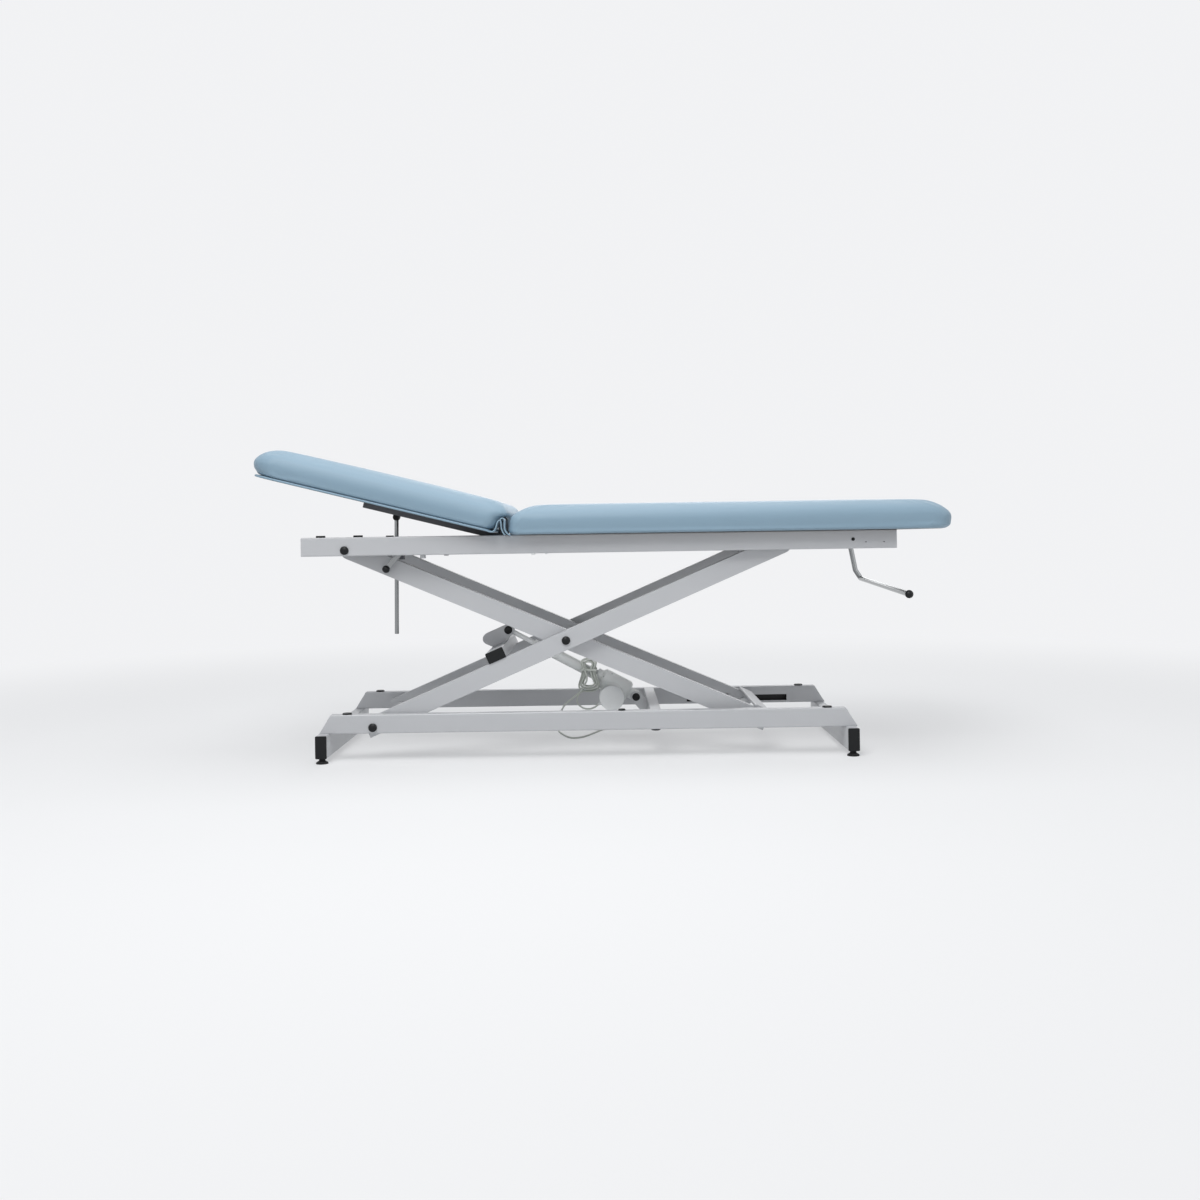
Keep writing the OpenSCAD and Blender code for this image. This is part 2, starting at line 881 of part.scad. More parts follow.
// A closed skin over a stack of rings, from the lowest to the highest
module skin(rings) {
    n = len(rings[0]);
    m = len(rings);
    mid = function (points) [
        (min([for (p = points) p.x]) + max([for (p = points) p.x])) / 2, 0, points[0].z];
    points = concat([for (r = rings) each r], [mid(rings[0]), mid(rings[m - 1])]);
    sides = [for (j = [0:m - 2], i = [0:n - 1])
        let (a = j * n + i, b = j * n + (i + 1) % n, c = a + n, d = b + n)
        each [[a, c, b], [b, c, d]]];
    bottom = [for (i = [0:n - 1]) [m * n, i, (i + 1) % n]];
    top = [for (i = [0:n - 1]) [m * n + 1, (m - 1) * n + (i + 1) % n, (m - 1) * n + i]];
    polyhedron(points, concat(bottom, sides, top));
}

// Levels of the seat pad: height share of its thickness, then how far its head end, foot end and
// sides stand back, as shares of edge_round
seat_level_shares = [
    [0, 0.16, 0.33, 0.13],
    [0.07, 0.04, 0.2, 0.06],
    [0.2, 0, 0.05, 0.02],
    [0.4, 0, 0.01, 0],
    [0.56, 0.02, 0.1, 0.02],
    [0.68, 0.08, 0.22, 0.06],
    [0.79, 0.19, 0.4, 0.14],
    [0.88, 0.39, 0.62, 0.28],
    [0.94, 0.69, 0.88, 0.47],
    [0.98, 1.08, 1.25, 0.75],
    [1, 1.9, 2, 1.5],
];
// Rings of the crown: share of crown_rise, then how far each ring stands in, in edge_round
crown_shares = [[0.5, 3, 2.4], [0.85, 4.2, 3.3], [1, 5, 4.2]];
board_inset_share = 0.3;
board_foot_share = 0.4;
board_corner_ease = 4;

function seat_ring(height, head, foot, side) =
    ring(seat_head_x + head, seat_foot_x - foot, pad_width / 2 - side, height, corner_radius);

module seat_board() {
    inset = edge_round * board_inset_share;
    x0 = seat_head_x + inset;
    x1 = seat_foot_x - edge_round * board_foot_share;
    color(birch_ply)
        translate([(x0 + x1) / 2, 0, deck_z])
            linear_extrude(board_thickness)
                rounded(x1 - x0, pad_width - 2 * inset, corner_radius - inset + board_corner_ease);
}

module seat_cushion() {
    z0 = deck_z + soft_gap;
    top = z0 + seat_thickness;
    pocket = edge_round * board_inset_share - soft_gap;
    pocket_foot = edge_round * board_foot_share - soft_gap;
    rings = concat(
        [for (z = [deck_z + board_thickness + soft_gap, z0])
            ring(seat_head_x + pocket, seat_foot_x - pocket_foot, pad_width / 2 - pocket,
                z, corner_radius - pocket, 0)],
        [for (s = seat_level_shares)
            seat_ring(z0 + s[0] * seat_thickness, s[1] * edge_round, s[2] * edge_round, s[3] * edge_round)],
        [for (c = crown_shares)
            seat_ring(top + c[0] * crown_rise, c[1] * edge_round, c[1] * edge_round, c[2] * edge_round)]
    );
    color(vinyl_blue)
        skin(rings);
}

// Levels of the backrest pad, drawn level in the frame of its hinge: height share of its
// thickness, then the reach past the hinge, and how far the head end and the sides stand back,
// as shares of edge_round
back_level_shares = [
    [0.07, -0.42, 0.4, 0.13],
    [0.13, -0.39, 0.25, 0.06],
    [0.27, -0.27, 0.05, 0.02],
    [0.4, -0.24, 0, 0],
    [0.53, -0.22, 0.05, 0.02],
    [0.6, -0.06, 0.08, 0.03],
    [0.62, 0.12, 0.09, 0.04],
    [0.68, 0.12, 0.14, 0.06],
    [0.76, 0.06, 0.24, 0.12],
    [0.85, -0.04, 0.42, 0.23],
    [0.93, -0.17, 0.68, 0.42],
    [0.98, -0.34, 0.98, 0.66],
    [1, -0.62, 1.5, 1.1],
];
back_crown_shares = [[0.5, -2, 3, 2.2], [0.85, -3, 4.2, 3.2], [1, -4, 5, 4.2]];
board_back_share = 0.42;

function back_ring(height, reach, head, side) =
    ring(-backrest_len + head, reach, pad_width / 2 - side, height, corner_radius);

module backrest_board() {
    inset = edge_round * board_back_share;
    x0 = -backrest_len + inset;
    color(birch_ply)
        on_backrest()
            translate([(x0 - inset) / 2, 0, back_z - hinge_z])
                linear_extrude(board_thickness)
                    rounded(-inset - x0, pad_width - inset / 2, corner_radius - inset / 2);
}

module backrest_cushion() {
    z0 = back_z - hinge_z;
    top = z0 + back_thickness;
    rings = concat(
        [for (s = back_level_shares)
            back_ring(z0 + s[0] * back_thickness, s[1] * edge_round, s[2] * edge_round, s[3] * edge_round)],
        [for (c = back_crown_shares)
            back_ring(top + c[0] * crown_rise, c[1] * edge_round, c[2] * edge_round, c[3] * edge_round)]
    );
    color(vinyl_blue)
        on_backrest()
            skin(rings);
}

// The backrest frame, its hinge and its prop rod

// Two rails, a head bar and a bar for the rod, with a plate up to each hinge pin
rail_out = beam_in - plate_thickness - 4;
hinge_eye_r = 9;
hinge_pin_dia = 8;
rail_end_back = 28;
ear_gap = 1;

// Outline of such a plate: a foot along the rail and an upright that passes the end of the board
module hinge_plate(bottom) {
    height = back_frame_height - soft_gap;
    translate([-rail_end_back - hinge_eye_r, bottom])
        square([rail_end_back + 2 * hinge_eye_r, height]);
    hull() {
        circle(hinge_eye_r);
        translate([-hinge_eye_r, bottom])
            square([2 * hinge_eye_r, height]);
    }
}

module backrest_frame() {
    top = back_z - hinge_z;
    bottom = top - back_frame_height;
    rail_in = rail_out - back_frame_bar;
    color(dark_paint)
        on_backrest() {
            difference() {
                union() {
                    both_sides()
                        translate([-back_frame_len, -rail_out, bottom])
                            cube([back_frame_len - rail_end_back, back_frame_bar, back_frame_height]);
                    for (x = [-back_frame_len, -rod_pin_back - back_frame_bar / 2])
                        translate([x, -rail_in, bottom])
                            cube([back_frame_bar, 2 * rail_in, back_frame_height]);
                    both_sides()
                        across(-rail_out, -rail_out + plate_thickness)
                            hinge_plate(bottom);
                }
                both_sides()
                    cross_bar(0, 0, hinge_pin_dia / 2 + run_clearance, -rail_out - overrun,
                        -rail_out + plate_thickness + overrun);
            }
        }
}

// Ears that rise from the top beams into the gap between the pads, with the hinge pins
ear_half = 13;

module hinge_ears() {
    color(dark_paint)
        both_sides() {
            across(-beam_in, -rail_out - ear_gap)
                hull() {
                    translate([hinge_x, hinge_z])
                        circle(hinge_eye_r);
                    translate([hinge_x - ear_half, top_z + tube_corner])
                        square([2 * ear_half, beam_height - 2 * tube_corner]);
                }
            cross_bar(hinge_x, hinge_z, hinge_pin_dia / 2, -rail_out - ear_gap,
                -rail_out + plate_thickness + overrun);
        }
}

// Fork under the rod bar, with its pin
fork_in = 7;
fork_out = 11;
fork_r = 9;
rod_eye_r = 8;
fork_pin_dia = 6;

module rod_pin_bracket() {
    top = back_z - hinge_z - back_frame_height;
    pin_z = back_z - hinge_z - rod_pin_drop;
    color(black_plastic)
        on_backrest() {
            both_sides()
                across(-fork_out, -fork_in)
                    hull() {
                        translate([-rod_pin_back, pin_z])
                            circle(fork_r);
                        translate([-rod_pin_back - fork_r, top - overrun])
                            square([2 * fork_r, overrun]);
                    }
            cross_bar(-rod_pin_back, pin_z, fork_pin_dia / 2, -fork_out - overrun, fork_out + overrun);
        }
}

module prop_rod() {
    color(bright_steel)
        translate([rod_pin_x, 0, rod_pin_z])
            rotate([0, rod_tilt, 0])
                difference() {
                    union() {
                        translate([0, 0, -rod_len])
                            cylinder(d = rod_dia, h = rod_len);
                        cross_bar(0, 0, rod_eye_r, -fork_in + soft_gap, fork_in - soft_gap);
                    }
                    cross_bar(0, 0, fork_pin_dia / 2 + run_clearance, -fork_in, fork_in);
                }
}

// Cross tube under the backrest with two lugs for the swivel and a bearing for the lever shaft
guide_tube_x = -558;
guide_tube_len = 20;
guide_tube_height = 20;
guide_tube_drop = 37;
lug_in = 13.5;
lug_r = 12;
trunnion_dia = 10;
shaft_x = -530;
shaft_rise = 21;
shaft_dia = 10;
bearing_in = 60;
bearing_r = 9;
clamp_bolt_x = -480;
clamp_bolt_dia = 15;
clamp_bolt_height = 9;

module rod_guide_bracket() {
    tube_z = deck_z - guide_tube_drop + guide_tube_height / 2;
    left = guide_tube_x - guide_tube_len / 2;
    color(frame_paint) {
        tube_y(guide_tube_x, tube_z, guide_tube_len, guide_tube_height, -beam_in, beam_in);
        both_sides()
            difference() {
                across(-lug_in - plate_thickness, -lug_in)
                    hull() {
                        translate([swivel_x, swivel_z])
                            circle(lug_r);
                        translate([left - overrun, tube_z - guide_tube_height / 2 + tube_corner])
                            square([overrun, guide_tube_height - 2 * tube_corner]);
                    }
                cross_bar(swivel_x, swivel_z, trunnion_dia / 2 + run_clearance,
                    -lug_in - plate_thickness - overrun, -lug_in + overrun);
            }
        difference() {
            across(-bearing_in - plate_thickness, -bearing_in)
                hull() {
                    translate([shaft_x, top_z + shaft_rise])
                        circle(bearing_r);
                    translate([guide_tube_x + guide_tube_len / 2, tube_z - guide_tube_height / 2 + tube_corner])
                        square([overrun, guide_tube_height - 2 * tube_corner]);
                }
            cross_bar(shaft_x, top_z + shaft_rise, shaft_dia / 2 + run_clearance,
                -bearing_in - plate_thickness - overrun, -bearing_in + overrun);
        }
    }
    color(dark_paint)
        both_sides()
            translate([clamp_bolt_x, -beam_mid, top_z - clamp_bolt_height])
                cylinder(d = clamp_bolt_dia, h = clamp_bolt_height, $fn = 6);
}

// Swivel block with a long hole, because the rod moves a little sideways as the backrest rises
swivel_back = 15;
swivel_front = 22;
swivel_half_height = 9;
slide_back = 3;
slide_front = 9.8;
slide_gap = 0.5;

module rod_swivel() {
    hole = rod_dia / 2 + slide_gap;
    color(dark_paint)
        translate([swivel_x, 0, swivel_z])
            rotate([0, rod_tilt, 0])
                difference() {
                    union() {
                        translate([-swivel_back, -lug_in + soft_gap, -swivel_half_height])
                            cube([swivel_back + swivel_front, 2 * (lug_in - soft_gap), 2 * swivel_half_height]);
                        cross_bar(0, 0, trunnion_dia / 2, -lug_in - plate_thickness, lug_in + plate_thickness);
                    }
                    translate([0, 0, -swivel_half_height - overrun])
                        linear_extrude(2 * (swivel_half_height + overrun)) {
                            translate([-slide_back, -hole])
                                square([slide_back + slide_front, 2 * hole]);
                            for (x = [-slide_back, slide_front])
                                translate([x, 0])
                                    circle(hole);
                        }
                }
}

// Release lever: a shaft through the bearing, a bent flat strap beside the beam, and a ball
strap_out = 229;
strap_thickness = 4;
strap_width = 12;
knob_back = 53;
knob_drop = 58;
knob_dia = 21;
cam_r = 9;
cam_width = 6;
knob_y = -strap_out + strap_thickness / 2;

module release_lever() {
    z = top_z + shaft_rise;
    color(bright_steel) {
        difference() {
            union() {
                cross_bar(shaft_x, z, shaft_dia / 2, -strap_out, -bearing_in + cam_width + side_gap);
                cross_bar(shaft_x, z, cam_r, -bearing_in + side_gap, -bearing_in + cam_width + side_gap);
                across(-strap_out, -strap_out + strap_thickness)
                    hull() {
                        translate([shaft_x, z])
                            circle(strap_width / 2);
                        translate([shaft_x - knob_back, z - knob_drop])
                            circle(strap_width / 2);
                    }
            }
            translate([shaft_x - knob_back, knob_y, z - knob_drop])
                sphere(d = knob_dia + 2 * side_gap);
        }
    }
}

module release_knob() {
    color(black_plastic)
        translate([shaft_x - knob_back, knob_y, top_z + shaft_rise - knob_drop])
            sphere(d = knob_dia);
}

// The paper roll holder: a bent tube under the rear beam at the foot end

holder_y = 250;
holder_top_inset = 22;
holder_bend_inset = 9;
holder_top_x = top_foot_x - holder_top_inset;
holder_bend_x = top_foot_x - holder_bend_inset;
holder_bend_drop = 72;
holder_corner_reach = 7;
holder_corner_x = top_foot_x + holder_corner_reach;
holder_corner_drop = 97;
holder_ball_reach = 25;
holder_ball_x = top_foot_x + holder_ball_reach;
holder_ball_y = -288;
holder_ball_drop = 122;
holder_flange_dia = 30;
holder_flange_height = 4;

// A round rod between two points
module rod_between(p, q, d) {
    v = q - p;
    translate(p)
        rotate([0, atan2(norm([v.x, v.y]), v.z), atan2(v.y, v.x)])
            cylinder(d = d, h = norm(v));
}

holder_corner = [holder_corner_x, holder_y, top_z - holder_corner_drop];
holder_ball = [holder_ball_x, holder_ball_y, top_z - holder_ball_drop];
holder_run = holder_ball - holder_corner;

module paper_roll_holder() {
    start = [holder_top_x, holder_y, top_z - holder_flange_height];
    bend = [holder_bend_x, holder_y, top_z - holder_bend_drop];
    color(bright_steel) {
        translate(start)
            cylinder(d = holder_flange_dia, h = holder_flange_height);
        rod_between(start, bend, holder_dia);
        rod_between(bend, holder_corner, holder_dia);
        rod_between(holder_corner, holder_ball, holder_dia);
        for (p = [bend, holder_corner])
            translate(p)
                sphere(d = holder_dia + side_gap);
    }
}

module paper_roll_ball() {
    color(black_plastic)
        translate(holder_ball)
            rotate([0, atan2(norm([holder_run.x, holder_run.y]), holder_run.z),
                    atan2(holder_run.y, holder_run.x)])
                rotate_extrude()
                    difference() {
                        circle(d = holder_ball_dia);
                        translate([-holder_ball_dia, -holder_ball_dia])
                            square([holder_ball_dia, 2 * holder_ball_dia]);
                        translate([0, -holder_ball_dia])
                            square([holder_dia / 2 + snug_gap, holder_ball_dia]);
                    }
}

// The actuator, drawn along X from its rear pin; its local Z points down at the front

eye_r = 14;
eye_half = 23.5;
neck_start = 10;
gear_start = 22;
gear_end = 112;
gear_chamfer = 6;
collar_dia = 44;
collar_end = 128;
motor_along = 64.5;
motor_side = 25.7;
motor_flange_y = 45;
motor_flange_dia = 66;
motor_rim = 4;
sleeve_start = 60;
sleeve_end = 264;
piston_start = 122;
piston_back = 82;
stem_r = 7;
stem_back = 6;
front_eye_r = 13;
front_eye_half = 13.5;

module actuator_housing() {
    half_gear = gear_dia / 2;
    color(pale_plastic)
        on_actuator()
            difference() {
                union() {
                    cross_bar(0, 0, eye_r, -eye_half, eye_half);
                    across(-eye_half, eye_half)
                        translate([0, -eye_r])
                            square([gear_start + overrun, 2 * eye_r]);
                    translate([gear_start, 0, 0])
                        rotate([0, 90, 0])
                            cylinder(d1 = gear_dia - 2 * gear_chamfer, d2 = gear_dia, h = gear_chamfer);
                    translate([gear_start + gear_chamfer, 0, 0])
                        rotate([0, 90, 0])
                            cylinder(d = gear_dia, h = gear_end - gear_start - 2 * gear_chamfer);
                    translate([gear_end - gear_chamfer, 0, 0])
                        rotate([0, 90, 0])
                            cylinder(d1 = gear_dia, d2 = gear_dia - 2 * gear_chamfer, h = gear_chamfer);
                    translate([gear_end - overrun, 0, 0])
                        rotate([0, 90, 0])
                            cylinder(d = collar_dia, h = collar_end - gear_end + overrun);
                    cross_bar(motor_along, motor_side, motor_flange_dia / 2, -motor_flange_y, 0);
                    across(-half_gear, half_gear)
                        translate([motor_along - half_gear, 0])
                            square([gear_dia, motor_side]);
                }
                cross_bar(0, 0, pin_dia / 2 + run_clearance, -eye_half - overrun, eye_half + overrun);
                translate([sleeve_start, 0, 0])
                    rotate([0, 90, 0])
                        cylinder(r = sleeve_dia / 2 + snug_gap, h = collar_end - sleeve_start + overrun);
            }
}

module actuator_motor() {
    color(pale_plastic)
        on_actuator()
            translate([motor_along, -motor_flange_y, motor_side])
                rotate([90, 0, 0])
                    rotate_extrude()
                        difference() {
                            square([motor_dia / 2, motor_reach - motor_flange_y]);
                            translate([motor_dia / 2 - motor_rim, motor_reach - motor_flange_y - motor_rim])
                                difference() {
                                    square([motor_rim + overrun, motor_rim + overrun]);
                                    circle(motor_rim);
                                }
                        }
}

module actuator_sleeve() {
    color(pale_plastic)
        on_actuator()
            translate([sleeve_start, 0, 0])
                rotate([0, 90, 0])
                    difference() {
                        cylinder(d = sleeve_dia, h = sleeve_end - sleeve_start);
                        translate([0, 0, -overrun])
                            cylinder(r = piston_dia / 2 + run_clearance, h = sleeve_end - sleeve_start + 2 * overrun);
                    }
}

module actuator_piston() {
    front = actuator_len - piston_back;
    color(nylon_white)
        on_actuator() {
            translate([piston_start, 0, 0])
                rotate([0, 90, 0])
                    cylinder(d = piston_dia, h = front - piston_start);
            translate([front, 0, 0])
                rotate([0, 90, 0])
                    cylinder(r = stem_r, h = piston_back - stem_back);
            cross_bar(actuator_len, 0, front_eye_r, -front_eye_half, front_eye_half);
        }
}

// The cord

cord_dia = 5;
relief_len = 16;
relief_r = 6;
relief_tip_r = 3.5;
relief_angle = 217;
relief_y = -22;
motor_x = rear_pin_x + motor_along * cos(actuator_turn) - motor_side * sin(actuator_turn);
motor_z = rear_pin_z + motor_along * sin(actuator_turn) + motor_side * cos(actuator_turn);

module cord_strain_relief() {
    color(pale_plastic)
        difference() {
            translate([motor_x, relief_y, motor_z])
                rotate([0, 90 - relief_angle, 0])
                    translate([0, 0, motor_flange_dia / 2 - overrun])
                        cylinder(r1 = relief_r, r2 = relief_tip_r, h = relief_len + overrun);
            cross_bar(motor_x, motor_z, motor_flange_dia / 2, -motor_flange_y, motor_flange_y);
        }
}

// Points of the lead from the strain relief to the hank
lead_route = [
    [-21.4, -22, 109.3], [-26, -22.2, 105.8], [-33, -22.6, 101.5], [-43, -23.4, 98.3],
    [-54, -24.6, 98.2], [-65, -26.2, 101.8], [-74, -27.8, 109], [-79.5, -29.2, 118.5],
    [-80.5, -30.2, 129], [-77, -30.8, 138.5], [-70, -31.1, 145.8], [-60.6, -31.2, 150],
    [-51.3, -31.2, 150],
];

// Points of the free strand from the hank down to the floor and along it to the plug
strand_route = [
    [-51.3, -49.2, 242.3], [-56.4, -49.2, 242.3], [-61.5, -51.6, 237.5], [-63.5, -54, 230],
    [-61, -56.4, 220], [-56, -57.5, 208], [-52, -57.5, 195], [-52, -57.3, 183], [-60, -56.5, 167],
    [-71, -53, 151], [-84, -45, 139], [-97, -32, 128], [-108, -14, 117], [-116, 8, 107],
    [-122, 33, 96], [-128, 62, 83], [-134, 92, 68], [-142, 125, 49], [-153, 165, 27],
    [-166, 202, 9.5], [-175, 228, 3.4], [-182, 250, 2.6], [-182, 268, 2.6], [-174, 281, 2.6],
    [-161, 284, 2.6], [-150, 275, 2.6], [-145, 255, 2.6], [-144, 222, 2.6], [-138, 172, 2.6],
    [-118, 98, 2.6], [-105, 70, 2.6], [-90, 61, 2.6], [-73, 71, 2.6], [-56, 99, 2.6],
    [-32, 158, 2.6], [-6, 220, 2.6], [24, 259, 3], [52, 276, 5.6], [78, 282, 11.8],
    [95.7, 282, 13],
];

// A point between the middle two of four points, on a smooth curve through them
function between(a, b, c, d) = (9 * (b + c) - (a + d)) / 16;

// The same points with one more in each stretch but the first and the last
function smoothed(points) = [for (i = [0:len(points) - 1]) each
    (i > 0 && i < len(points) - 2)
        ? [points[i], between(points[i - 1], points[i], points[i + 1], points[i + 2])]
        : [points[i]]];

function unit(v) = v / norm(v);

// The direction of a path at each of its points
function tangents(points) = [for (i = [0:len(points) - 1])
    unit(points[min(i + 1, len(points) - 1)] - points[max(i - 1, 0)])];

// Side directions carried along a path without twist, from the direction first
function carried(tangent, first, i = 0, list = []) =
    i == len(tangent) ? list :
    let (
        last = (i == 0) ? first : list[i - 1],
        side = unit(last - (last * tangent[i]) * tangent[i])
    )
    carried(tangent, first, i + 1, concat(list, [side]));

// A closed tube of so many sides along a path
module tube_along(points, r, sides, first) {
    tangent = tangents(points);
    side = carried(tangent, first);
    n = len(points);
    corners = [for (i = [0:n - 1]) each
        let (other = cross(tangent[i], side[i]))
        [for (k = [0:sides - 1]) points[i] + r * (cos(360 * k / sides) * side[i]
            + sin(360 * k / sides) * other)]];
    walls = [for (i = [0:n - 2], k = [0:sides - 1])
        let (a = i * sides + k, b = i * sides + (k + 1) % sides, c = a + sides, d = b + sides)
        each [[a, b, c], [b, d, c]]];
    caps = concat([[for (k = [0:sides - 1]) sides - 1 - k]],
        [[for (k = [0:sides - 1]) (n - 1) * sides + k]]);
    polyhedron(concat(corners, [points[0], points[n - 1]]), concat(walls,
        [for (k = [0:sides - 1]) [n * sides, (k + 1) % sides, k]],
        [for (k = [0:sides - 1]) [n * sides + 1, (n - 1) * sides + k, (n - 1) * sides + (k + 1) % sides]]));
}

cord_sides = 8;

module cord_lead() {
    color(cord_grey)
        tube_along(smoothed(lead_route), cord_dia / 2, cord_sides, [0, 1, 0]);
}

module cord_strand() {
    color(cord_grey)
        tube_along(smoothed(strand_route), cord_dia / 2, cord_sides, [0, 1, 0]);
}

// The hank: two nested loops in each of four layers, drawn in at the tie
hank_x = -46;
hank_z = 212;
hank_y = -31.2;
hank_turns = 7.5;
hank_nested = 2;
hank_step = 7.4;
hank_layer = 6;
hank_drop = 62;
hank_rise = 34;
hank_low_half = 30;
hank_high_half = 22;
hank_waist = 3.2;
hank_waist_step = 8.2;
hank_rings = 24;
hank_sides = 6;

// How far in the spiral is after s turns, and which layer it is in, with the climb at a reversal
function hank_in(s) = let (m = s % (2 * hank_nested)) min(m, 2 * hank_nested - m);
function hank_level(s) =
    let (
        k = floor(s / hank_nested + 0.5),
        near = s - k * hank_nested
    )
    k + (k == 0 ? 0 : min(max(near / 0.5, -0.5), 0.5)) - (k == 0 ? 0 : 0.5);

function hank_point(s) =
    let (
        a = 360 * s,
        in = hank_in(s) * hank_step,
        waist = hank_waist + (hank_nested - hank_in(s)) * hank_waist_step,
        low = (hank_low_half + hank_high_half) / 2 + (hank_low_half - hank_high_half) / 2 * cos(a) - in,
        lobe = sqrt(2) * low,
        tall = (cos(a) > 0 ? hank_drop : hank_rise) - in
    )
    [hank_x + (lobe + waist) / 2 * sin(a) + (lobe - waist) / 2 * sin(3 * a),
        hank_y - hank_layer * hank_level(s),
        hank_z - tall * cos(a)];

hank_path = concat(
    [hank_point(0) - [cord_dia, 0, 0]],
    [for (i = [0:hank_rings * hank_turns]) hank_point(i / hank_rings)],
    [hank_point(hank_turns) - [cord_dia, 0, 0]]
);

// The least gap of the hank's cord to itself, measured between points a third of a loop apart
hank_least = min([for (i = [0:len(hank_path) - 1], j = [i + hank_rings / 3:len(hank_path) - 1])
    norm(hank_path[i] - hank_path[j])]) - cord_dia;
echo(hank_least_gap = hank_least);

module cord_hank() {
    color(cord_grey)
        tube_along(hank_path, cord_dia / 2, hank_sides, [0, 1, 0]);
}

// The band that ties the hank
tie_height = 7;
tie_thickness = 1.5;

module cord_tie() {
    half_x = hank_waist + hank_nested * hank_waist_step + cord_dia / 2 + soft_gap;
    y0 = hank_y - 3 * hank_layer - cord_dia / 2 - soft_gap;
    y1 = hank_y + cord_dia / 2 + soft_gap;
    w = 2 * half_x;
    d = y1 - y0;
    color(cord_grey)
        translate([hank_x, (y0 + y1) / 2, hank_z - tie_height / 2])
            linear_extrude(tie_height)
                difference() {
                    rounded(w + 2 * tie_thickness, d + 2 * tie_thickness, tube_corner);
                    square([w, d], center = true);
                }
}

// The mains plug, lying on the floor behind the rear beam
plug_x = 96;
plug_y = 282;
plug_z = 13;
plug_boot_len = 24;
plug_body_len = 34;
plug_boot_r = 5;
plug_body_r = 13;
plug_pin_dia = 4.8;
plug_pin_len = 19;
plug_pin_spacing = 19;

module mains_plug() {
    color(black_plastic)
        translate([plug_x, plug_y, plug_z])
            rotate([0, 90, 0]) {
                cylinder(r1 = cord_dia / 2 + tie_thickness, r2 = plug_boot_r, h = plug_boot_len);
                translate([0, 0, plug_boot_len])
                    cylinder(r1 = plug_boot_r, r2 = plug_body_r, h = plug_boot_len / 2);
                translate([0, 0, plug_boot_len * 3 / 2])
                    cylinder(r = plug_body_r, h = plug_body_len - plug_boot_len / 2);
            }
    color(bright_steel)
        for (y = [-plug_pin_spacing / 2, plug_pin_spacing / 2])
            translate([plug_x + plug_boot_len + plug_body_len, plug_y + y, plug_z])
                rotate([0, 90, 0])
                    cylinder(d = plug_pin_dia, h = plug_pin_len);
}

base_beam_front();
base_beam_rear();
floor_tube_head();
floor_tube_foot();
base_middle_tube();
floor_tube_caps();
base_round_caps();
actuator_rear_bracket();
base_pivot_bolts();
levelling_foot_head_front();
levelling_foot_head_rear();
levelling_foot_tail_front();
levelling_foot_tail_rear();
outer_arm_front();
outer_arm_rear();
outer_arm_lower_tube();
outer_arm_upper_tube();
outer_arm_black_caps();
actuator_front_bracket();
centre_pivot_bolts();
upper_roller_axles();
inner_arm_front();
inner_arm_rear();
inner_arm_lower_bar();
inner_arm_upper_tube();
lower_roller_axles();
lower_roller_front();
lower_roller_rear();
upper_roller_front();
upper_roller_rear();
top_beam_front();
top_beam_rear();
top_cross_tubes();
top_pivot_bolts();
top_round_caps();
top_bumpers();
seat_board();
seat_cushion();
rod_guide_bracket();
hinge_ears();
paper_roll_holder();
paper_roll_ball();
rod_swivel();
release_lever();
release_knob();
backrest_board();
backrest_cushion();
backrest_frame();
rod_pin_bracket();
prop_rod();
actuator_housing();
actuator_motor();
actuator_sleeve();
actuator_piston();
cord_strain_relief();
cord_lead();
cord_hank();
cord_tie();
cord_strand();
mains_plug();
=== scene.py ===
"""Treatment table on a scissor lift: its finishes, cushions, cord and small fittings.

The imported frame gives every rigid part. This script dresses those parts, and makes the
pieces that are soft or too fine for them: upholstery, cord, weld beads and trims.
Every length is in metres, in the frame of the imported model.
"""

from __future__ import annotations

import json
import logging
import math
from dataclasses import dataclass, field
from enum import Enum
from typing import Iterable, Sequence

import bmesh
import bpy
import numpy as np
from mathutils import Matrix, Vector

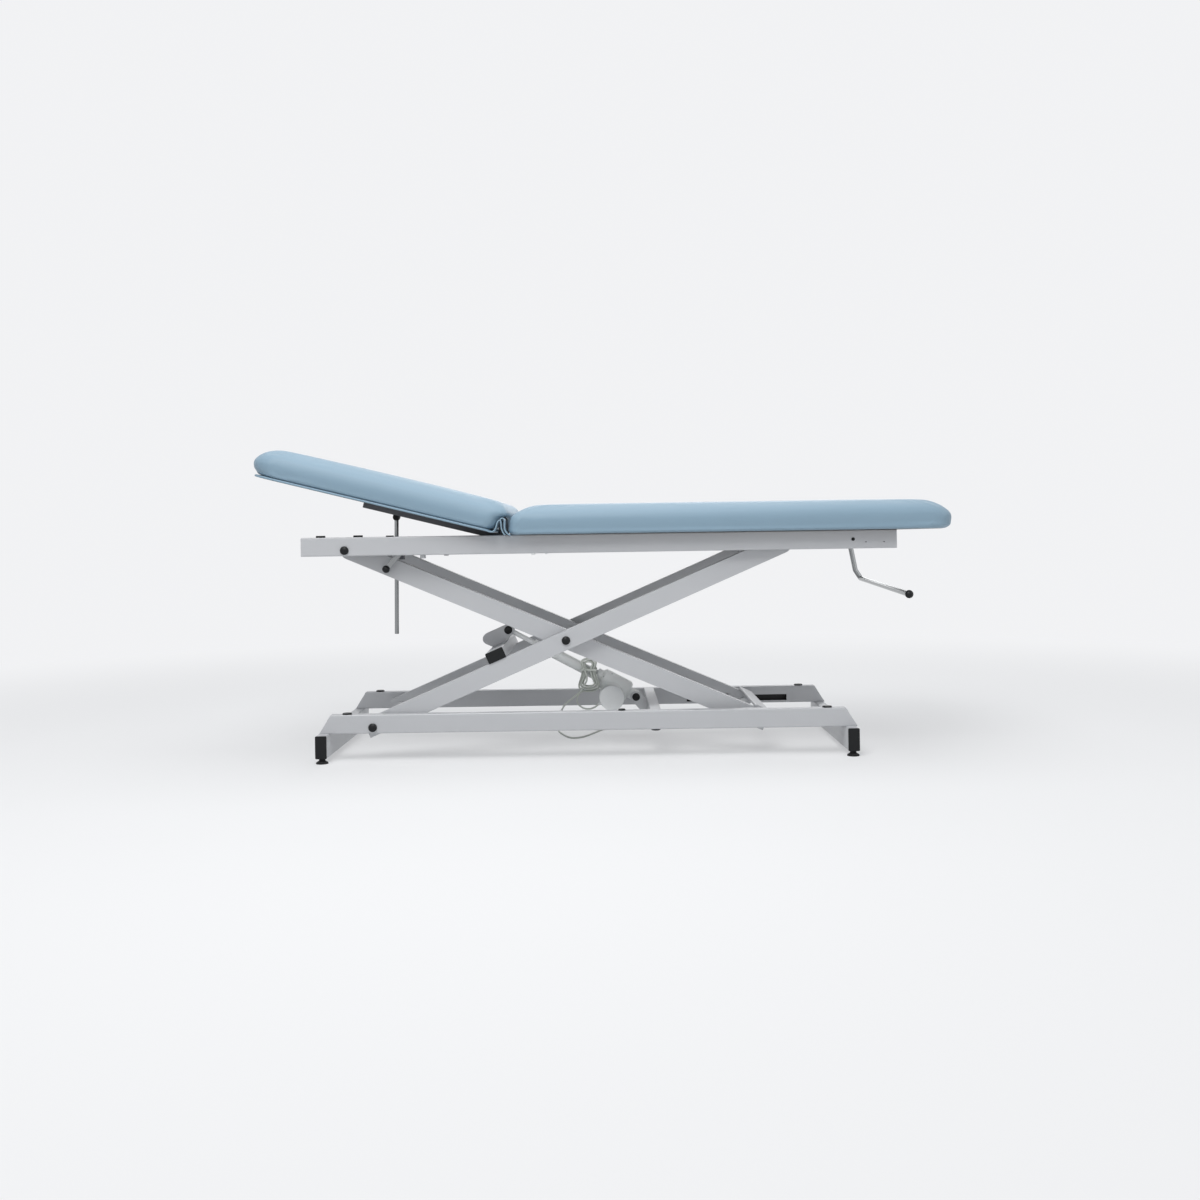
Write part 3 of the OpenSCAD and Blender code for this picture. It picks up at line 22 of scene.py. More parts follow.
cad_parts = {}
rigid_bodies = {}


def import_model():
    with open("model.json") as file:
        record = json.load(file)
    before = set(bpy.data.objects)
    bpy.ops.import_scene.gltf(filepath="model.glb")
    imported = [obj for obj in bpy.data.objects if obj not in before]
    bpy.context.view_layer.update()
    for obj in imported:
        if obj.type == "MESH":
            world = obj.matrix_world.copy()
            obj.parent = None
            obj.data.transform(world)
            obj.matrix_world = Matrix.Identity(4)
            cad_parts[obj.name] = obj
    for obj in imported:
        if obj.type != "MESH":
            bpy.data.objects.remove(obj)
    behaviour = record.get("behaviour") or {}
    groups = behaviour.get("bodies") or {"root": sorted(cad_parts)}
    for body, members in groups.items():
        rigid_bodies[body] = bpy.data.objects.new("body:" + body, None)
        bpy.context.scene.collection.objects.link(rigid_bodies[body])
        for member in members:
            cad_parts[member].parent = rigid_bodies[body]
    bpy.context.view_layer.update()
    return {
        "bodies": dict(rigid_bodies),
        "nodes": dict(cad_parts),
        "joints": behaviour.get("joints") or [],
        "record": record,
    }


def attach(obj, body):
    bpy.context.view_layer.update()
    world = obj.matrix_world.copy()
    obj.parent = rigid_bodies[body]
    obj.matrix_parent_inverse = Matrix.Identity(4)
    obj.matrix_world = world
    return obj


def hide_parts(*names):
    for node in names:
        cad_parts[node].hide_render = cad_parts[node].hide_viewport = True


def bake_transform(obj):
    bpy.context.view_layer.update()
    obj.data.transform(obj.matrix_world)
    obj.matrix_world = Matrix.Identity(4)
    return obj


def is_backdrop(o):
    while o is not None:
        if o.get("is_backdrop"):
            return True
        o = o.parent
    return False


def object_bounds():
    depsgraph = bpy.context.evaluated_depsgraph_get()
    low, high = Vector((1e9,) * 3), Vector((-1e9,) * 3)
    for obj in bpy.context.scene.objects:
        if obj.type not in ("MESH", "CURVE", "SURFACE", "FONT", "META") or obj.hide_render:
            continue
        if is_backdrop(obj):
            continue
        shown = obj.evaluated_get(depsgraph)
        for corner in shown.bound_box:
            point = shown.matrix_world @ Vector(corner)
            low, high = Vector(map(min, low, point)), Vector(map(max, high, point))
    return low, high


LOG = logging.getLogger("treatment_table")
MM = 0.001
MERGE_DISTANCE = 1e-6
ARC_STEPS = 10
Triple = tuple[float, float, float]


# ---------------------------------------------------------------- shared meshes


def smooth_all(mesh: bpy.types.Mesh) -> None:
    """Shades every face of a mesh smooth."""
    mesh.polygons.foreach_set("use_smooth", np.ones(len(mesh.polygons), bool))
    mesh.update()


def link_new(name: str, mesh: bpy.types.Mesh) -> bpy.types.Object:
    """Shows a mesh as a new object at the origin."""
    made = bpy.data.objects.new(name, mesh)
    bpy.context.scene.collection.objects.link(made)
    return made


def make_object(name: str, points: np.ndarray, faces: Sequence[Sequence[int]]) -> bpy.types.Object:
    """Makes a smooth-shaded object at the origin from points in metres.

    Args:
        name: the piece's name.
        points: an (n, 3) array.
        faces: corner numbers of each face, pointing outwards.

    Returns:
        The new object, linked to the scene.
    """
    mesh = bpy.data.meshes.new(name)
    places = [tuple(p) for p in np.asarray(points, float)]
    mesh.from_pydata(places, [], [tuple(int(i) for i in f) for f in faces])
    mesh.validate()
    smooth_all(mesh)
    return link_new(name, mesh)


def read_points(mesh: bpy.types.Mesh) -> np.ndarray:
    """The places of a mesh's points, as an (n, 3) array."""
    places = np.empty(len(mesh.vertices) * 3)
    mesh.vertices.foreach_get("co", places)
    return places.reshape(-1, 3)


def write_points(mesh: bpy.types.Mesh, places: np.ndarray) -> None:
    """Moves a mesh's points to new places."""
    mesh.vertices.foreach_set("co", places.ravel())
    mesh.update()


def grid_faces(rows: int, columns: int, closed: bool = True, looped: bool = False) -> list[tuple[int, ...]]:
    """Faces of a grid of points that is stored row after row.

    Args:
        rows: how many rings or rows.
        columns: how many points are in each.
        closed: whether the last point of a row joins its first.
        looped: whether the last row joins the first.

    Returns:
        Four-sided faces.
    """
    down = rows if looped else rows - 1
    across = columns if closed else columns - 1
    j, i = np.meshgrid(np.arange(down), np.arange(across), indexing="ij")
    row, below, right = j * columns, (j + 1) % rows * columns, (i + 1) % columns
    quads = np.stack([row + i, row + right, below + right, below + i], axis=-1)
    return [tuple(q) for q in quads.reshape(-1, 4).tolist()]


def fan_faces(hub: int, first: int, count: int, flip: bool = False) -> list[tuple[int, ...]]:
    """Triangles between one point and a closed ring of points.

    Args:
        hub: number of the single point.
        first: number of the ring's first point.
        count: how many points the ring has.
        flip: whether the triangles run the other way round.

    Returns:
        Three-sided faces.
    """
    edges = [(first + k, first + (k + 1) % count) for k in range(count)]
    return [(hub, b, a) if flip else (hub, a, b) for a, b in edges]


def with_heights(rings: np.ndarray, z: np.ndarray) -> np.ndarray:
    """Gives each ring of (x, y) points its own height."""
    return np.concatenate([rings, np.broadcast_to(z[:, None, None], rings.shape[:2] + (1,))], -1)


def catmull(points: np.ndarray, per_span: int) -> np.ndarray:
    """Puts a smooth curve through points.

    Each span is the cubic whose end slopes are half the step between the neighbours.

    Args:
        points: an (n, k) array.
        per_span: how many new points each span gets.

    Returns:
        An array of (n - 1) * per_span + 1 points.
    """
    p = np.asarray(points, float)
    q = np.vstack([2 * p[0] - p[1], p, 2 * p[-1] - p[-2]])
    t = np.linspace(0, 1, per_span, endpoint=False)[:, None]
    spans = []
    for a, b, c, d in zip(q[:-3], q[1:-2], q[2:-1], q[3:]):
        square, cube = 2 * a - 5 * b + 4 * c - d, 3 * b - a - 3 * c + d
        spans.append(0.5 * (2 * b + (c - a) * t + square * t**2 + cube * t**3))
    return np.vstack(spans + [p[-1:]])


def even_steps(path: np.ndarray, step: float) -> np.ndarray:
    """Points at even distances along a path, its two ends kept."""
    run = np.concatenate([[0], np.cumsum(np.linalg.norm(np.diff(path, axis=0), axis=1))])
    count = max(2, int(round(run[-1] / step)) + 1)
    where = np.linspace(0, run[-1], count)
    return np.stack([np.interp(where, run, path[:, k]) for k in range(3)], axis=1)


def path_length(path: np.ndarray) -> float:
    """Length of a path, in metres."""
    return float(np.linalg.norm(np.diff(path, axis=0), axis=1).sum())


def carried_frames(path: np.ndarray, first: Sequence[float]) -> tuple[np.ndarray, np.ndarray]:
    """Side and upward directions along a path, carried without twist.

    Each direction is the last one with its share along the path taken out.

    Args:
        path: an (n, 3) array.
        first: the side direction to start from.

    Returns:
        Two (n, 3) arrays of unit directions.
    """
    along = np.gradient(path, axis=0)
    along /= np.linalg.norm(along, axis=1, keepdims=True)
    side = np.zeros_like(path)
    last = np.asarray(first, float)
    for n, tangent in enumerate(along):
        last = last - last.dot(tangent) * tangent
        last = last / np.linalg.norm(last)
        side[n] = last
    return side, np.cross(along, side)


def tube(name: str, path: np.ndarray, radius: np.ndarray | float, sides: int = 12,
         first: Sequence[float] = (0, 1, 0)) -> bpy.types.Object:
    """A closed round tube: a circle of the given radius carried along a path.

    Args:
        name: the piece's name.
        path: an (n, 3) array in metres.
        radius: one radius, or one for each point.
        sides: how many points the circle has.
        first: the side direction to start from.

    Returns:
        The new object.
    """
    side, up = carried_frames(path, first)
    turn = 2 * np.pi * np.arange(sides) / sides
    size = np.broadcast_to(np.asarray(radius, float), (len(path),))[:, None, None]
    ring = side[:, None] * np.cos(turn)[None, :, None] + up[:, None] * np.sin(turn)[None, :, None]
    rings = (path[:, None] + size * ring).reshape(-1, 3)
    points = np.vstack([rings, path[:1], path[-1:]])
    start, end = len(rings), len(rings) + 1
    faces = grid_faces(len(path), sides) + fan_faces(start, 0, sides, flip=True)
    return make_object(name, points, faces + fan_faces(end, (len(path) - 1) * sides, sides))


def turned(name: str, profile: Sequence[tuple[float, float]], centre: Sequence[float],
           axis: Sequence[float], sides: int) -> bpy.types.Object:
    """A turned piece: a profile of (distance along, radius) swept round an axis.

    Args:
        name: the piece's name.
        profile: pairs in metres; a radius of zero closes the end.
        centre: the place of distance zero.
        axis: the direction of the axis.
        sides: points round it.

    Returns:
        The new object.
    """
    along = Vector(axis).normalized()
    basis = along.to_track_quat("Z", "X").to_matrix()
    side, up = np.array(basis.col[0]), np.array(basis.col[1])
    rows = np.asarray(profile, float)
    turn = 2 * np.pi * np.arange(sides) / sides
    ring = side * np.cos(turn)[:, None] + up * np.sin(turn)[:, None]
    points = (np.asarray(centre, float) + rows[:, 0].reshape(-1, 1, 1) * np.array(along)
              + rows[:, 1].reshape(-1, 1, 1) * ring[None])
    made = make_object(name, points.reshape(-1, 3), grid_faces(len(rows), sides))
    tidy_mesh(made)
    return made


def tidy_mesh(piece: bpy.types.Object) -> None:
    """Merges doubles and points every face outwards."""
    work = bmesh.new()
    work.from_mesh(piece.data)
    bmesh.ops.remove_doubles(work, verts=work.verts, dist=MERGE_DISTANCE)
    bmesh.ops.recalc_face_normals(work, faces=work.faces)
    work.to_mesh(piece.data)
    work.free()
    smooth_all(piece.data)


def join_pieces(name: str, parts: Iterable[bpy.types.Object]) -> bpy.types.Object:
    """Puts several objects into one mesh at the origin and removes them."""
    work = bmesh.new()
    for part in parts:
        work.from_mesh(part.data)
        bpy.data.objects.remove(part)
    mesh = bpy.data.meshes.new(name)
    work.to_mesh(mesh)
    work.free()
    smooth_all(mesh)
    return link_new(name, mesh)


def sharp_by_angle(piece: bpy.types.Object, degrees: float) -> None:
    """Keeps edges sharper than an angle crisp on a smooth-shaded mesh."""
    work = bmesh.new()
    work.from_mesh(piece.data)
    limit = math.radians(degrees)
    for edge in work.edges:
        edge.smooth = not (len(edge.link_faces) == 2 and edge.calc_face_angle(0) > limit)
    work.to_mesh(piece.data)
    work.free()


# ---------------------------------------------------------------- finishes


class Finish(Enum):
    """The finishes, named as the record names its material slots."""

    FRAME = "frame_paint"
    DARK = "dark_paint"
    BLACK = "black_plastic"
    RUBBER = "foot_rubber"
    ZINC = "zinc_steel"
    CHROME = "chrome_bar"
    VINYL = "blue_vinyl"
    PLYWOOD = "plywood"
    HOUSING = "pale_plastic"
    NYLON = "white_nylon"
    CORD = "cord_sheath"


class Draft:
    """Adds nodes to one tree and joins them."""

    def __init__(self, tree: bpy.types.NodeTree) -> None:
        """Starts on a tree."""
        self.tree = tree

    @classmethod
    def of(cls, owner: bpy.types.Material | bpy.types.World) -> Draft:
        """Empties the tree of a material or a world and starts on it."""
        owner.use_nodes = True
        owner.node_tree.nodes.clear()
        return cls(owner.node_tree)

    def add(self, kind: str, sources: dict | None = None, **settings: object) -> bpy.types.Node:
        """Adds one node.

        Args:
            kind: its type.
            sources: what its inputs get, each a socket to join or a value to keep.
            settings: properties of the node, which are set first.

        Returns:
            The new node.
        """
        made = self.tree.nodes.new(kind)
        for name, value in settings.items():
            setattr(made, name, value)
        for key, source in (sources or {}).items():
            if isinstance(source, bpy.types.NodeSocket):
                self.tree.links.new(source, made.inputs[key])
            else:
                made.inputs[key].default_value = source
        return made

    def calc(self, operation: str, *sources: object, clamp: bool = False) -> bpy.types.NodeSocket:
        """The result of one sum, of sockets or numbers."""
        made = self.add("ShaderNodeMath", dict(enumerate(sources)), operation=operation, use_clamp=clamp)
        return made.outputs[0]

    def place(self) -> bpy.types.NodeSocket:
        """The place on the object."""
        return self.add("ShaderNodeTexCoord").outputs["Object"]

    def tinted(self, mask: bpy.types.NodeSocket, color: bpy.types.NodeSocket,
               other: Triple) -> bpy.types.NodeSocket:
        """A colour that turns into another one where a mask is white."""
        sources = {"Factor": mask, 6: color, 7: (*other, 1)}
        return self.add("ShaderNodeMix", sources, data_type="RGBA").outputs[2]


class EffectGroups:
    """Node groups that several finishes share."""

    def __init__(self) -> None:
        """Builds each group once."""
        self.mottle = self._mottle()
        self.edge_wear = self._edge_wear()
        self.grain = self._grain()
        self.hollow = self._hollow()

    @staticmethod
    def _start(name: str, inputs: dict, outputs: dict[str, str]) -> tuple[Draft, bpy.types.NodeOutputs]:
        """Starts a group.

        Args:
            name: the group's name.
            inputs: each input with its usual value, a number or a colour.
            outputs: each output with its kind: Float, Color or Vector.

        Returns:
            The draft of its tree, and the sockets that bring the inputs in.
        """
        tree = bpy.data.node_groups.new(name, "ShaderNodeTree")
        for label, value in inputs.items():
            kind = "NodeSocketColor" if isinstance(value, tuple) else "NodeSocketFloat"
            tree.interface.new_socket(label, in_out="INPUT", socket_type=kind).default_value = value
        for label, kind in outputs.items():
            tree.interface.new_socket(label, in_out="OUTPUT", socket_type=f"NodeSocket{kind}")
        draft = Draft(tree)
        return draft, draft.add("NodeGroupInput").outputs

    def _mottle(self) -> bpy.types.NodeTree:
        """Soft clouds that shift a colour a little and give a roughness."""
        draft, given = self._start(
            "table_mottle", {"Color": (0.5, 0.5, 0.5, 1), "Amount": 0.05, "Scale": 10.0, "Roughness": 0.5},
            {"Color": "Color", "Roughness": "Float"})
        cloud = draft.add("ShaderNodeTexNoise", {"Vector": draft.place(), "Scale": given["Scale"], "Detail": 5})
        centred = draft.calc("SUBTRACT", cloud.outputs["Fac"], 0.5)
        shift = draft.calc("MULTIPLY_ADD", centred, given["Amount"], 1.0)
        tint = draft.add("ShaderNodeVectorMath", {0: given["Color"], "Scale": shift}, operation="SCALE")
        rough = draft.calc("MULTIPLY", given["Roughness"], shift, clamp=True)
        draft.add("NodeGroupOutput", {"Color": tint.outputs[0], "Roughness": rough})
        return draft.tree

    def _edge_wear(self) -> bpy.types.NodeTree:
        """Marks outer edges, where a rounded normal leaves the face's own, and gives that normal."""
        draft, given = self._start("table_edge_wear", {"Width": 0.001, "Amount": 1.0},
                                   {"Mask": "Float", "Normal": "Vector"})
        rounded = draft.add("ShaderNodeBevel", {"Radius": given["Width"]}, samples=4).outputs["Normal"]
        own = draft.add("ShaderNodeNewGeometry").outputs["Normal"]
        dot = draft.add("ShaderNodeVectorMath", {0: rounded, 1: own}, operation="DOT_PRODUCT")
        away = draft.calc("SUBTRACT", 1.0, dot.outputs["Value"])
        breaks = draft.add("ShaderNodeTexNoise", {"Vector": draft.place(), "Scale": 60, "Detail": 4})
        worn = draft.calc("MULTIPLY", away, breaks.outputs["Fac"])
        mask = draft.calc("MULTIPLY", worn, given["Amount"], clamp=True)
        draft.add("NodeGroupOutput", {"Mask": mask, "Normal": rounded})
        return draft.tree

    def _grain(self) -> bpy.types.NodeTree:
        """The height of a fine relief: rounded cells of pressed leather mixed with a soft noise.

        The distance to a cell's edge is cut off at a quarter and stretched back to one.
        """
        draft, given = self._start("table_grain", {"Cell Scale": 900.0, "Noise Scale": 300.0, "Mix": 0.5},
                                   {"Height": "Float"})
        place = draft.place()
        cells = draft.add("ShaderNodeTexVoronoi", {"Vector": place, "Scale": given["Cell Scale"]},
                          feature="DISTANCE_TO_EDGE")
        noise = draft.add("ShaderNodeTexNoise", {"Vector": place, "Scale": given["Noise Scale"], "Detail": 3})
        rounded = draft.calc("MULTIPLY", draft.calc("MINIMUM", cells.outputs["Distance"], 0.25), 4.0)
        mix = draft.add("ShaderNodeMix", {"Factor": given["Mix"], 2: rounded, 3: noise.outputs["Fac"]})
        draft.add("NodeGroupOutput", {"Height": mix.outputs[0]})
        return draft.tree

    def _hollow(self) -> bpy.types.NodeTree:
        """Marks the inner walls of the base beams, where painted shade makes them near-black to stand in for the dark
        inside the tubes.

        The mask is the product of a lower and an upper limit for each of the three distances
        from the middle of the table.
        """
        limits = {"Low X": -1.0, "High X": 0.70, "Low Y": 0.2374, "High Y": 0.2626, "Low Z": 0.0765,
                  "High Z": 0.1215}
        draft, given = self._start("table_hollow", limits, {"Mask": "Float"})
        away = draft.add("ShaderNodeVectorMath", {0: draft.place()}, operation="ABSOLUTE").outputs[0]
        split = draft.add("ShaderNodeSeparateXYZ", {0: away}).outputs
        mask = None
        for label in limits:
            side, axis = label.split()
            test = draft.calc("GREATER_THAN" if side == "Low" else "LESS_THAN", split[axis], given[label])
            mask = test if mask is None else draft.calc("MULTIPLY", mask, test)
        draft.add("NodeGroupOutput", {"Mask": mask})
        return draft.tree


@dataclass(frozen=True)
class Surface:
    """A finish: its colour, gloss, relief and wear."""

    name: str
    color: Triple
    roughness: float
    metallic: float = 0.0
    coat: float = 0.0
    sheen: float = 0.0
    mottle: float = 0.06
    mottle_scale: float = 8.0
    relief: float = 0.1
    relief_depth: float = 0.0002
    cell_scale: float = 900.0
    noise_scale: float = 300.0
    relief_mix: float = 0.5
    wear: float = 0.0
    wear_color: Triple = (0.6, 0.6, 0.6)
    edge: float = 0.0
    specular: float = 0.5
    coat_roughness: float = 0.25
    hollow: bool = False
    # near-black painted shade for the inner walls of the base beams
    hollow_shade_color: Triple = (0.012, 0.012, 0.013)

    def build(self, groups: EffectGroups) -> bpy.types.Material:
        """Makes the material from the shared groups.

        Args:
            groups: the node groups.

        Returns:
            A new material.
        """
        material = bpy.data.materials.new(self.name)
        draft = Draft.of(material)
        mottle = draft.add("ShaderNodeGroup", {
            "Color": (*self.color, 1), "Amount": self.mottle, "Scale": self.mottle_scale,
            "Roughness": self.roughness}, node_tree=groups.mottle).outputs
        color = mottle["Color"]
        bump = {"Strength": self.relief, "Distance": self.relief_depth}
        if self.edge > 0:
            worn = draft.add("ShaderNodeGroup", {"Width": self.edge, "Amount": self.wear},
                             node_tree=groups.edge_wear).outputs
            color = draft.tinted(worn["Mask"], color, self.wear_color)
            bump["Normal"] = worn["Normal"]
        # painted shade: the inner walls of the base beams turn near-black, standing in for the shade inside the tubes
        if self.hollow:
            inside = draft.add("ShaderNodeGroup", node_tree=groups.hollow).outputs["Mask"]
            color = draft.tinted(inside, color, self.hollow_shade_color)
        bump["Height"] = draft.add("ShaderNodeGroup", {
            "Cell Scale": self.cell_scale, "Noise Scale": self.noise_scale, "Mix": self.relief_mix},
            node_tree=groups.grain).outputs["Height"]
        shader = draft.add("ShaderNodeBsdfPrincipled", {
            "Base Color": color, "Roughness": mottle["Roughness"], "Metallic": self.metallic,
            "Coat Weight": self.coat, "Coat Roughness": self.coat_roughness,
            "Specular IOR Level": self.specular, "Sheen Weight": self.sheen,
            "Normal": draft.add("ShaderNodeBump", bump).outputs["Normal"]})
        draft.add("ShaderNodeOutputMaterial", {"Surface": shader.outputs["BSDF"]})
        return material


SURFACES: dict[Finish, Surface] = {
    Finish.FRAME: Surface("silver_powder_coat", (0.515, 0.524, 0.541), 0.46, metallic=0.2, coat=0.1, mottle=0.07,
                          mottle_scale=5, relief=0.2, relief_depth=0.00012, cell_scale=700, noise_scale=1100,
                          relief_mix=0.8, wear=0.5, wear_color=(0.68, 0.69, 0.70), edge=0.0012, hollow=True),
    Finish.DARK: Surface("dark_satin_paint", (0.110, 0.114, 0.126), 0.5, mottle=0.2, mottle_scale=12,
                         relief=0.15, relief_depth=0.00012, noise_scale=900, relief_mix=0.85, wear=0.5,
                         wear_color=(0.14, 0.145, 0.155), edge=0.001, specular=0.3),
    Finish.BLACK: Surface("moulded_black", (0.009, 0.010, 0.011), 0.38, mottle=0.25, mottle_scale=25, relief=0.2,
                          relief_depth=0.0001, noise_scale=1400, relief_mix=0.7, wear=0.25,
                          wear_color=(0.06, 0.06, 0.063), edge=0.0006, specular=0.24),
    Finish.RUBBER: Surface("foot_rubber", (0.014, 0.014, 0.015), 0.8, mottle=0.3, mottle_scale=40, relief=0.35,
                           relief_depth=0.00015, noise_scale=800, relief_mix=0.9, wear=0.4,
                           wear_color=(0.05, 0.049, 0.047), edge=0.0008, specular=0.3),
    Finish.ZINC: Surface("zinc_plating", (0.50, 0.51, 0.52), 0.36, metallic=1.0, mottle=0.22, mottle_scale=35,
                         relief=0.12, relief_depth=0.0001, noise_scale=700, relief_mix=0.8, wear=0.3,
                         wear_color=(0.68, 0.68, 0.67), edge=0.0006),
    Finish.CHROME: Surface("polished_bar", (0.29, 0.30, 0.305), 0.2, metallic=1.0, mottle=0.25, mottle_scale=20,
                           relief=0.05, relief_depth=0.00008, noise_scale=500, relief_mix=1.0),
    Finish.VINYL: Surface("blue_vinyl", (0.236, 0.348, 0.438), 0.5, coat=0.08, sheen=0.06, mottle=0.07, mottle_scale=4,
                          relief=0.34, relief_depth=0.00024, cell_scale=820, noise_scale=260, relief_mix=0.35,
                          specular=0.4, coat_roughness=0.4),
    # painted shade: the board is near-black so that its edge shows the shadow in the gap between the pads and the
    # beams
    Finish.PLYWOOD: Surface("shade_darkened_plywood", (0.062, 0.054, 0.046), 0.7, mottle=0.3, mottle_scale=14, relief=0.2,
                            relief_depth=0.0002, noise_scale=180, relief_mix=0.9),
    Finish.HOUSING: Surface("pale_moulded_housing", (0.78, 0.80, 0.795), 0.42, mottle=0.05, mottle_scale=10,
                            relief=0.22, relief_depth=0.0001, noise_scale=1300, relief_mix=0.75, wear=0.3,
                            wear_color=(0.80, 0.82, 0.82), edge=0.0008),
    Finish.NYLON: Surface("white_nylon", (0.86, 0.875, 0.875), 0.38, mottle=0.08, mottle_scale=30, relief=0.08,
                          relief_depth=0.0001, noise_scale=900, relief_mix=0.9, wear=0.2,
                          wear_color=(0.85, 0.85, 0.83), edge=0.0004),
    Finish.CORD: Surface("soft_cord_sheath", (0.60, 0.63, 0.585), 0.5, mottle=0.1, mottle_scale=30, relief=0.12,
                         relief_depth=0.00008, noise_scale=1600, relief_mix=0.9),
}


class Palette:
    """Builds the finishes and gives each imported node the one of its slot."""

    def __init__(self) -> None:
        """Builds every material once."""
        groups = EffectGroups()
        self.materials = {finish: surface.build(groups) for finish, surface in SURFACES.items()}

    def paint(self, piece: bpy.types.Object, finish: Finish) -> bpy.types.Object:
        """Gives a piece one finish.

        Args:
            piece: the piece to dress.
            finish: the finish it gets.

        Returns:
            The same piece.
        """
        piece.data.materials.clear()
        piece.data.materials.append(self.materials[finish])
        return piece

    def dress_frame(self, frame: dict) -> None:
        """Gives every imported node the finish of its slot.
        """
        slots = {part["node"]: part["material_slot"] for part in frame["record"]["subparts"]}
        for name, node in frame["nodes"].items():
            finish = self.materials[Finish(slots[name])]
            if not node.data.materials:
                node.data.materials.append(finish)
            for number in range(len(node.data.materials)):
                node.data.materials[number] = finish


# ---------------------------------------------------------------- camera and stage


@dataclass
class Studio:
    """The camera of the photograph, a pale floor and soft lamps."""

    distance: float = 3.614
    height: float = 0.586
    lens: float = 37.89
    sensor: float = 36.0
    roll: float = -0.87
    frame_px: float = 1200.0
    principal_px: tuple[float, float] = (603.0, 537.0)
    backdrop: Triple = (0.885, 0.89, 0.905)
    floor_color: Triple = (0.84, 0.845, 0.85)
    floor_radius: float = 14.0
    floor_drop: float = 0.2 * MM
    near_glow: float = 0.45
    fade_start: float = 1.0
    fade_end: float = 4.0
    room_color: Triple = (0.93, 0.96, 1.0)
    room_strength: float = 0.33

    def camera(self) -> None:
        """Makes the camera, level with the lower half of the table, its frame shifted up."""
        data = bpy.data.cameras.new("camera")
        data.sensor_width = self.sensor
        data.lens = self.lens
        half = self.frame_px / 2
        data.shift_x = -(self.principal_px[0] - half) / self.frame_px
        data.shift_y = (self.principal_px[1] - half) / self.frame_px
        made = bpy.data.objects.new("camera", data)
        made.matrix_world = (Matrix.Translation((0, -self.distance, self.height))
                             @ Matrix.Rotation(math.radians(90), 4, "X")
                             @ Matrix.Rotation(math.radians(self.roll), 4, "Z"))
        bpy.context.scene.collection.objects.link(made)
        bpy.context.scene.camera = made

    def floor(self) -> None:
        """A round floor that fades into the backdrop with its distance from the table."""
        rings, sides = 40, 96
        r = self.floor_radius * (np.arange(1, rings + 1) / rings) ** 2
        a = 2 * np.pi * np.arange(sides) / sides
        points = np.stack([np.outer(r, np.cos(a)), np.outer(r, np.sin(a)), np.zeros((rings, sides))], -1)
        points = np.vstack([points.reshape(-1, 3), [[0, 0, 0]]])
        faces = [face[::-1] for face in grid_faces(rings, sides)] + fan_faces(len(points) - 1, 0, sides)
        made = make_object("floor", points, faces)
        made.data.transform(Matrix.Translation((0, 0, -self.floor_drop)))
        material = bpy.data.materials.new("pale_floor")
        draft = Draft.of(material)
        paint = draft.add("ShaderNodeBsdfDiffuse", {"Color": (*self.floor_color, 1)})
        glow = draft.add("ShaderNodeEmission", {"Color": (*self.backdrop, 1)})
        far = draft.add("ShaderNodeVectorMath", {0: draft.place()}, operation="LENGTH")
        fade = draft.add("ShaderNodeMapRange", {
            "Value": far.outputs["Value"], "From Min": self.fade_start, "From Max": self.fade_end,
            "To Min": self.near_glow}, interpolation_type="SMOOTHSTEP")
        path = draft.add("ShaderNodeLightPath").outputs
        shown = draft.calc("MAXIMUM", path["Is Camera Ray"], path["Is Glossy Ray"])
        share = draft.calc("MULTIPLY", fade.outputs["Result"], shown)
        mix = draft.add("ShaderNodeMixShader", {0: share, 1: paint.outputs[0], 2: glow.outputs[0]})
        draft.add("ShaderNodeOutputMaterial", {"Surface": mix.outputs[0]})
        made.data.materials.append(material)
        made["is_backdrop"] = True

    def world(self) -> None:
        """A pale room: the backdrop for what is seen directly, softer light for the rest."""
        world = bpy.data.worlds.new("room")
        bpy.context.scene.world = world
        draft = Draft.of(world)
        seen = draft.add("ShaderNodeBackground", {"Color": (*self.backdrop, 1)})
        light = draft.add("ShaderNodeBackground", {"Color": (*self.room_color, 1), "Strength": self.room_strength})
        path = draft.add("ShaderNodeLightPath").outputs
        direct = draft.calc("MAXIMUM", path["Is Camera Ray"], path["Is Glossy Ray"])
        shown = draft.calc("MAXIMUM", direct, path["Is Transmission Ray"])
        mix = draft.add("ShaderNodeMixShader", {0: shown, 1: light.outputs[0], 2: seen.outputs[0]})
        draft.add("ShaderNodeOutputWorld", {"Surface": mix.outputs[0]})

    def lamp(self, name: str, place: Sequence[float], target: Sequence[float], size: float,
             power: float) -> None:
        """Adds one soft square lamp.

        Args:
            name: its name.
            place: where it hangs.
            target: what it points at.
            size: the length of its side.
            power: its power in watts.
        """
        data = bpy.data.lights.new(name, "AREA")
        data.size, data.energy = size, power
        made = bpy.data.objects.new(name, data)
        made.location = place
        made.rotation_euler = (Vector(target) - Vector(place)).to_track_quat("-Z", "Y").to_euler()
        bpy.context.scene.collection.objects.link(made)

    def light(self) -> None:
        """A large lamp above, the strongest in front, a weak one at the foot end and one behind."""
        self.lamp("top_lamp", (0.0, 0.1, 3.3), (0, 0, 0.4), 2.8, 44)
        self.lamp("front_lamp", (-0.8, -2.5, 3.3), (0, 0, 0.4), 2.0, 84)
        self.lamp("side_lamp", (3.4, -1.8, 1.6), (0, 0, 0.5), 2.2, 14)
        self.lamp("back_lamp", (0.5, 3.6, 2.4), (0, 0, 0.4), 2.6, 28)

    def build(self) -> None:
        """Sets up camera, floor, room and lamps."""
        scene = bpy.context.scene
        scene.view_settings.view_transform = "Standard"
        self.camera()
        self.floor()
        self.world()
        self.light()


# ---------------------------------------------------------------- cord


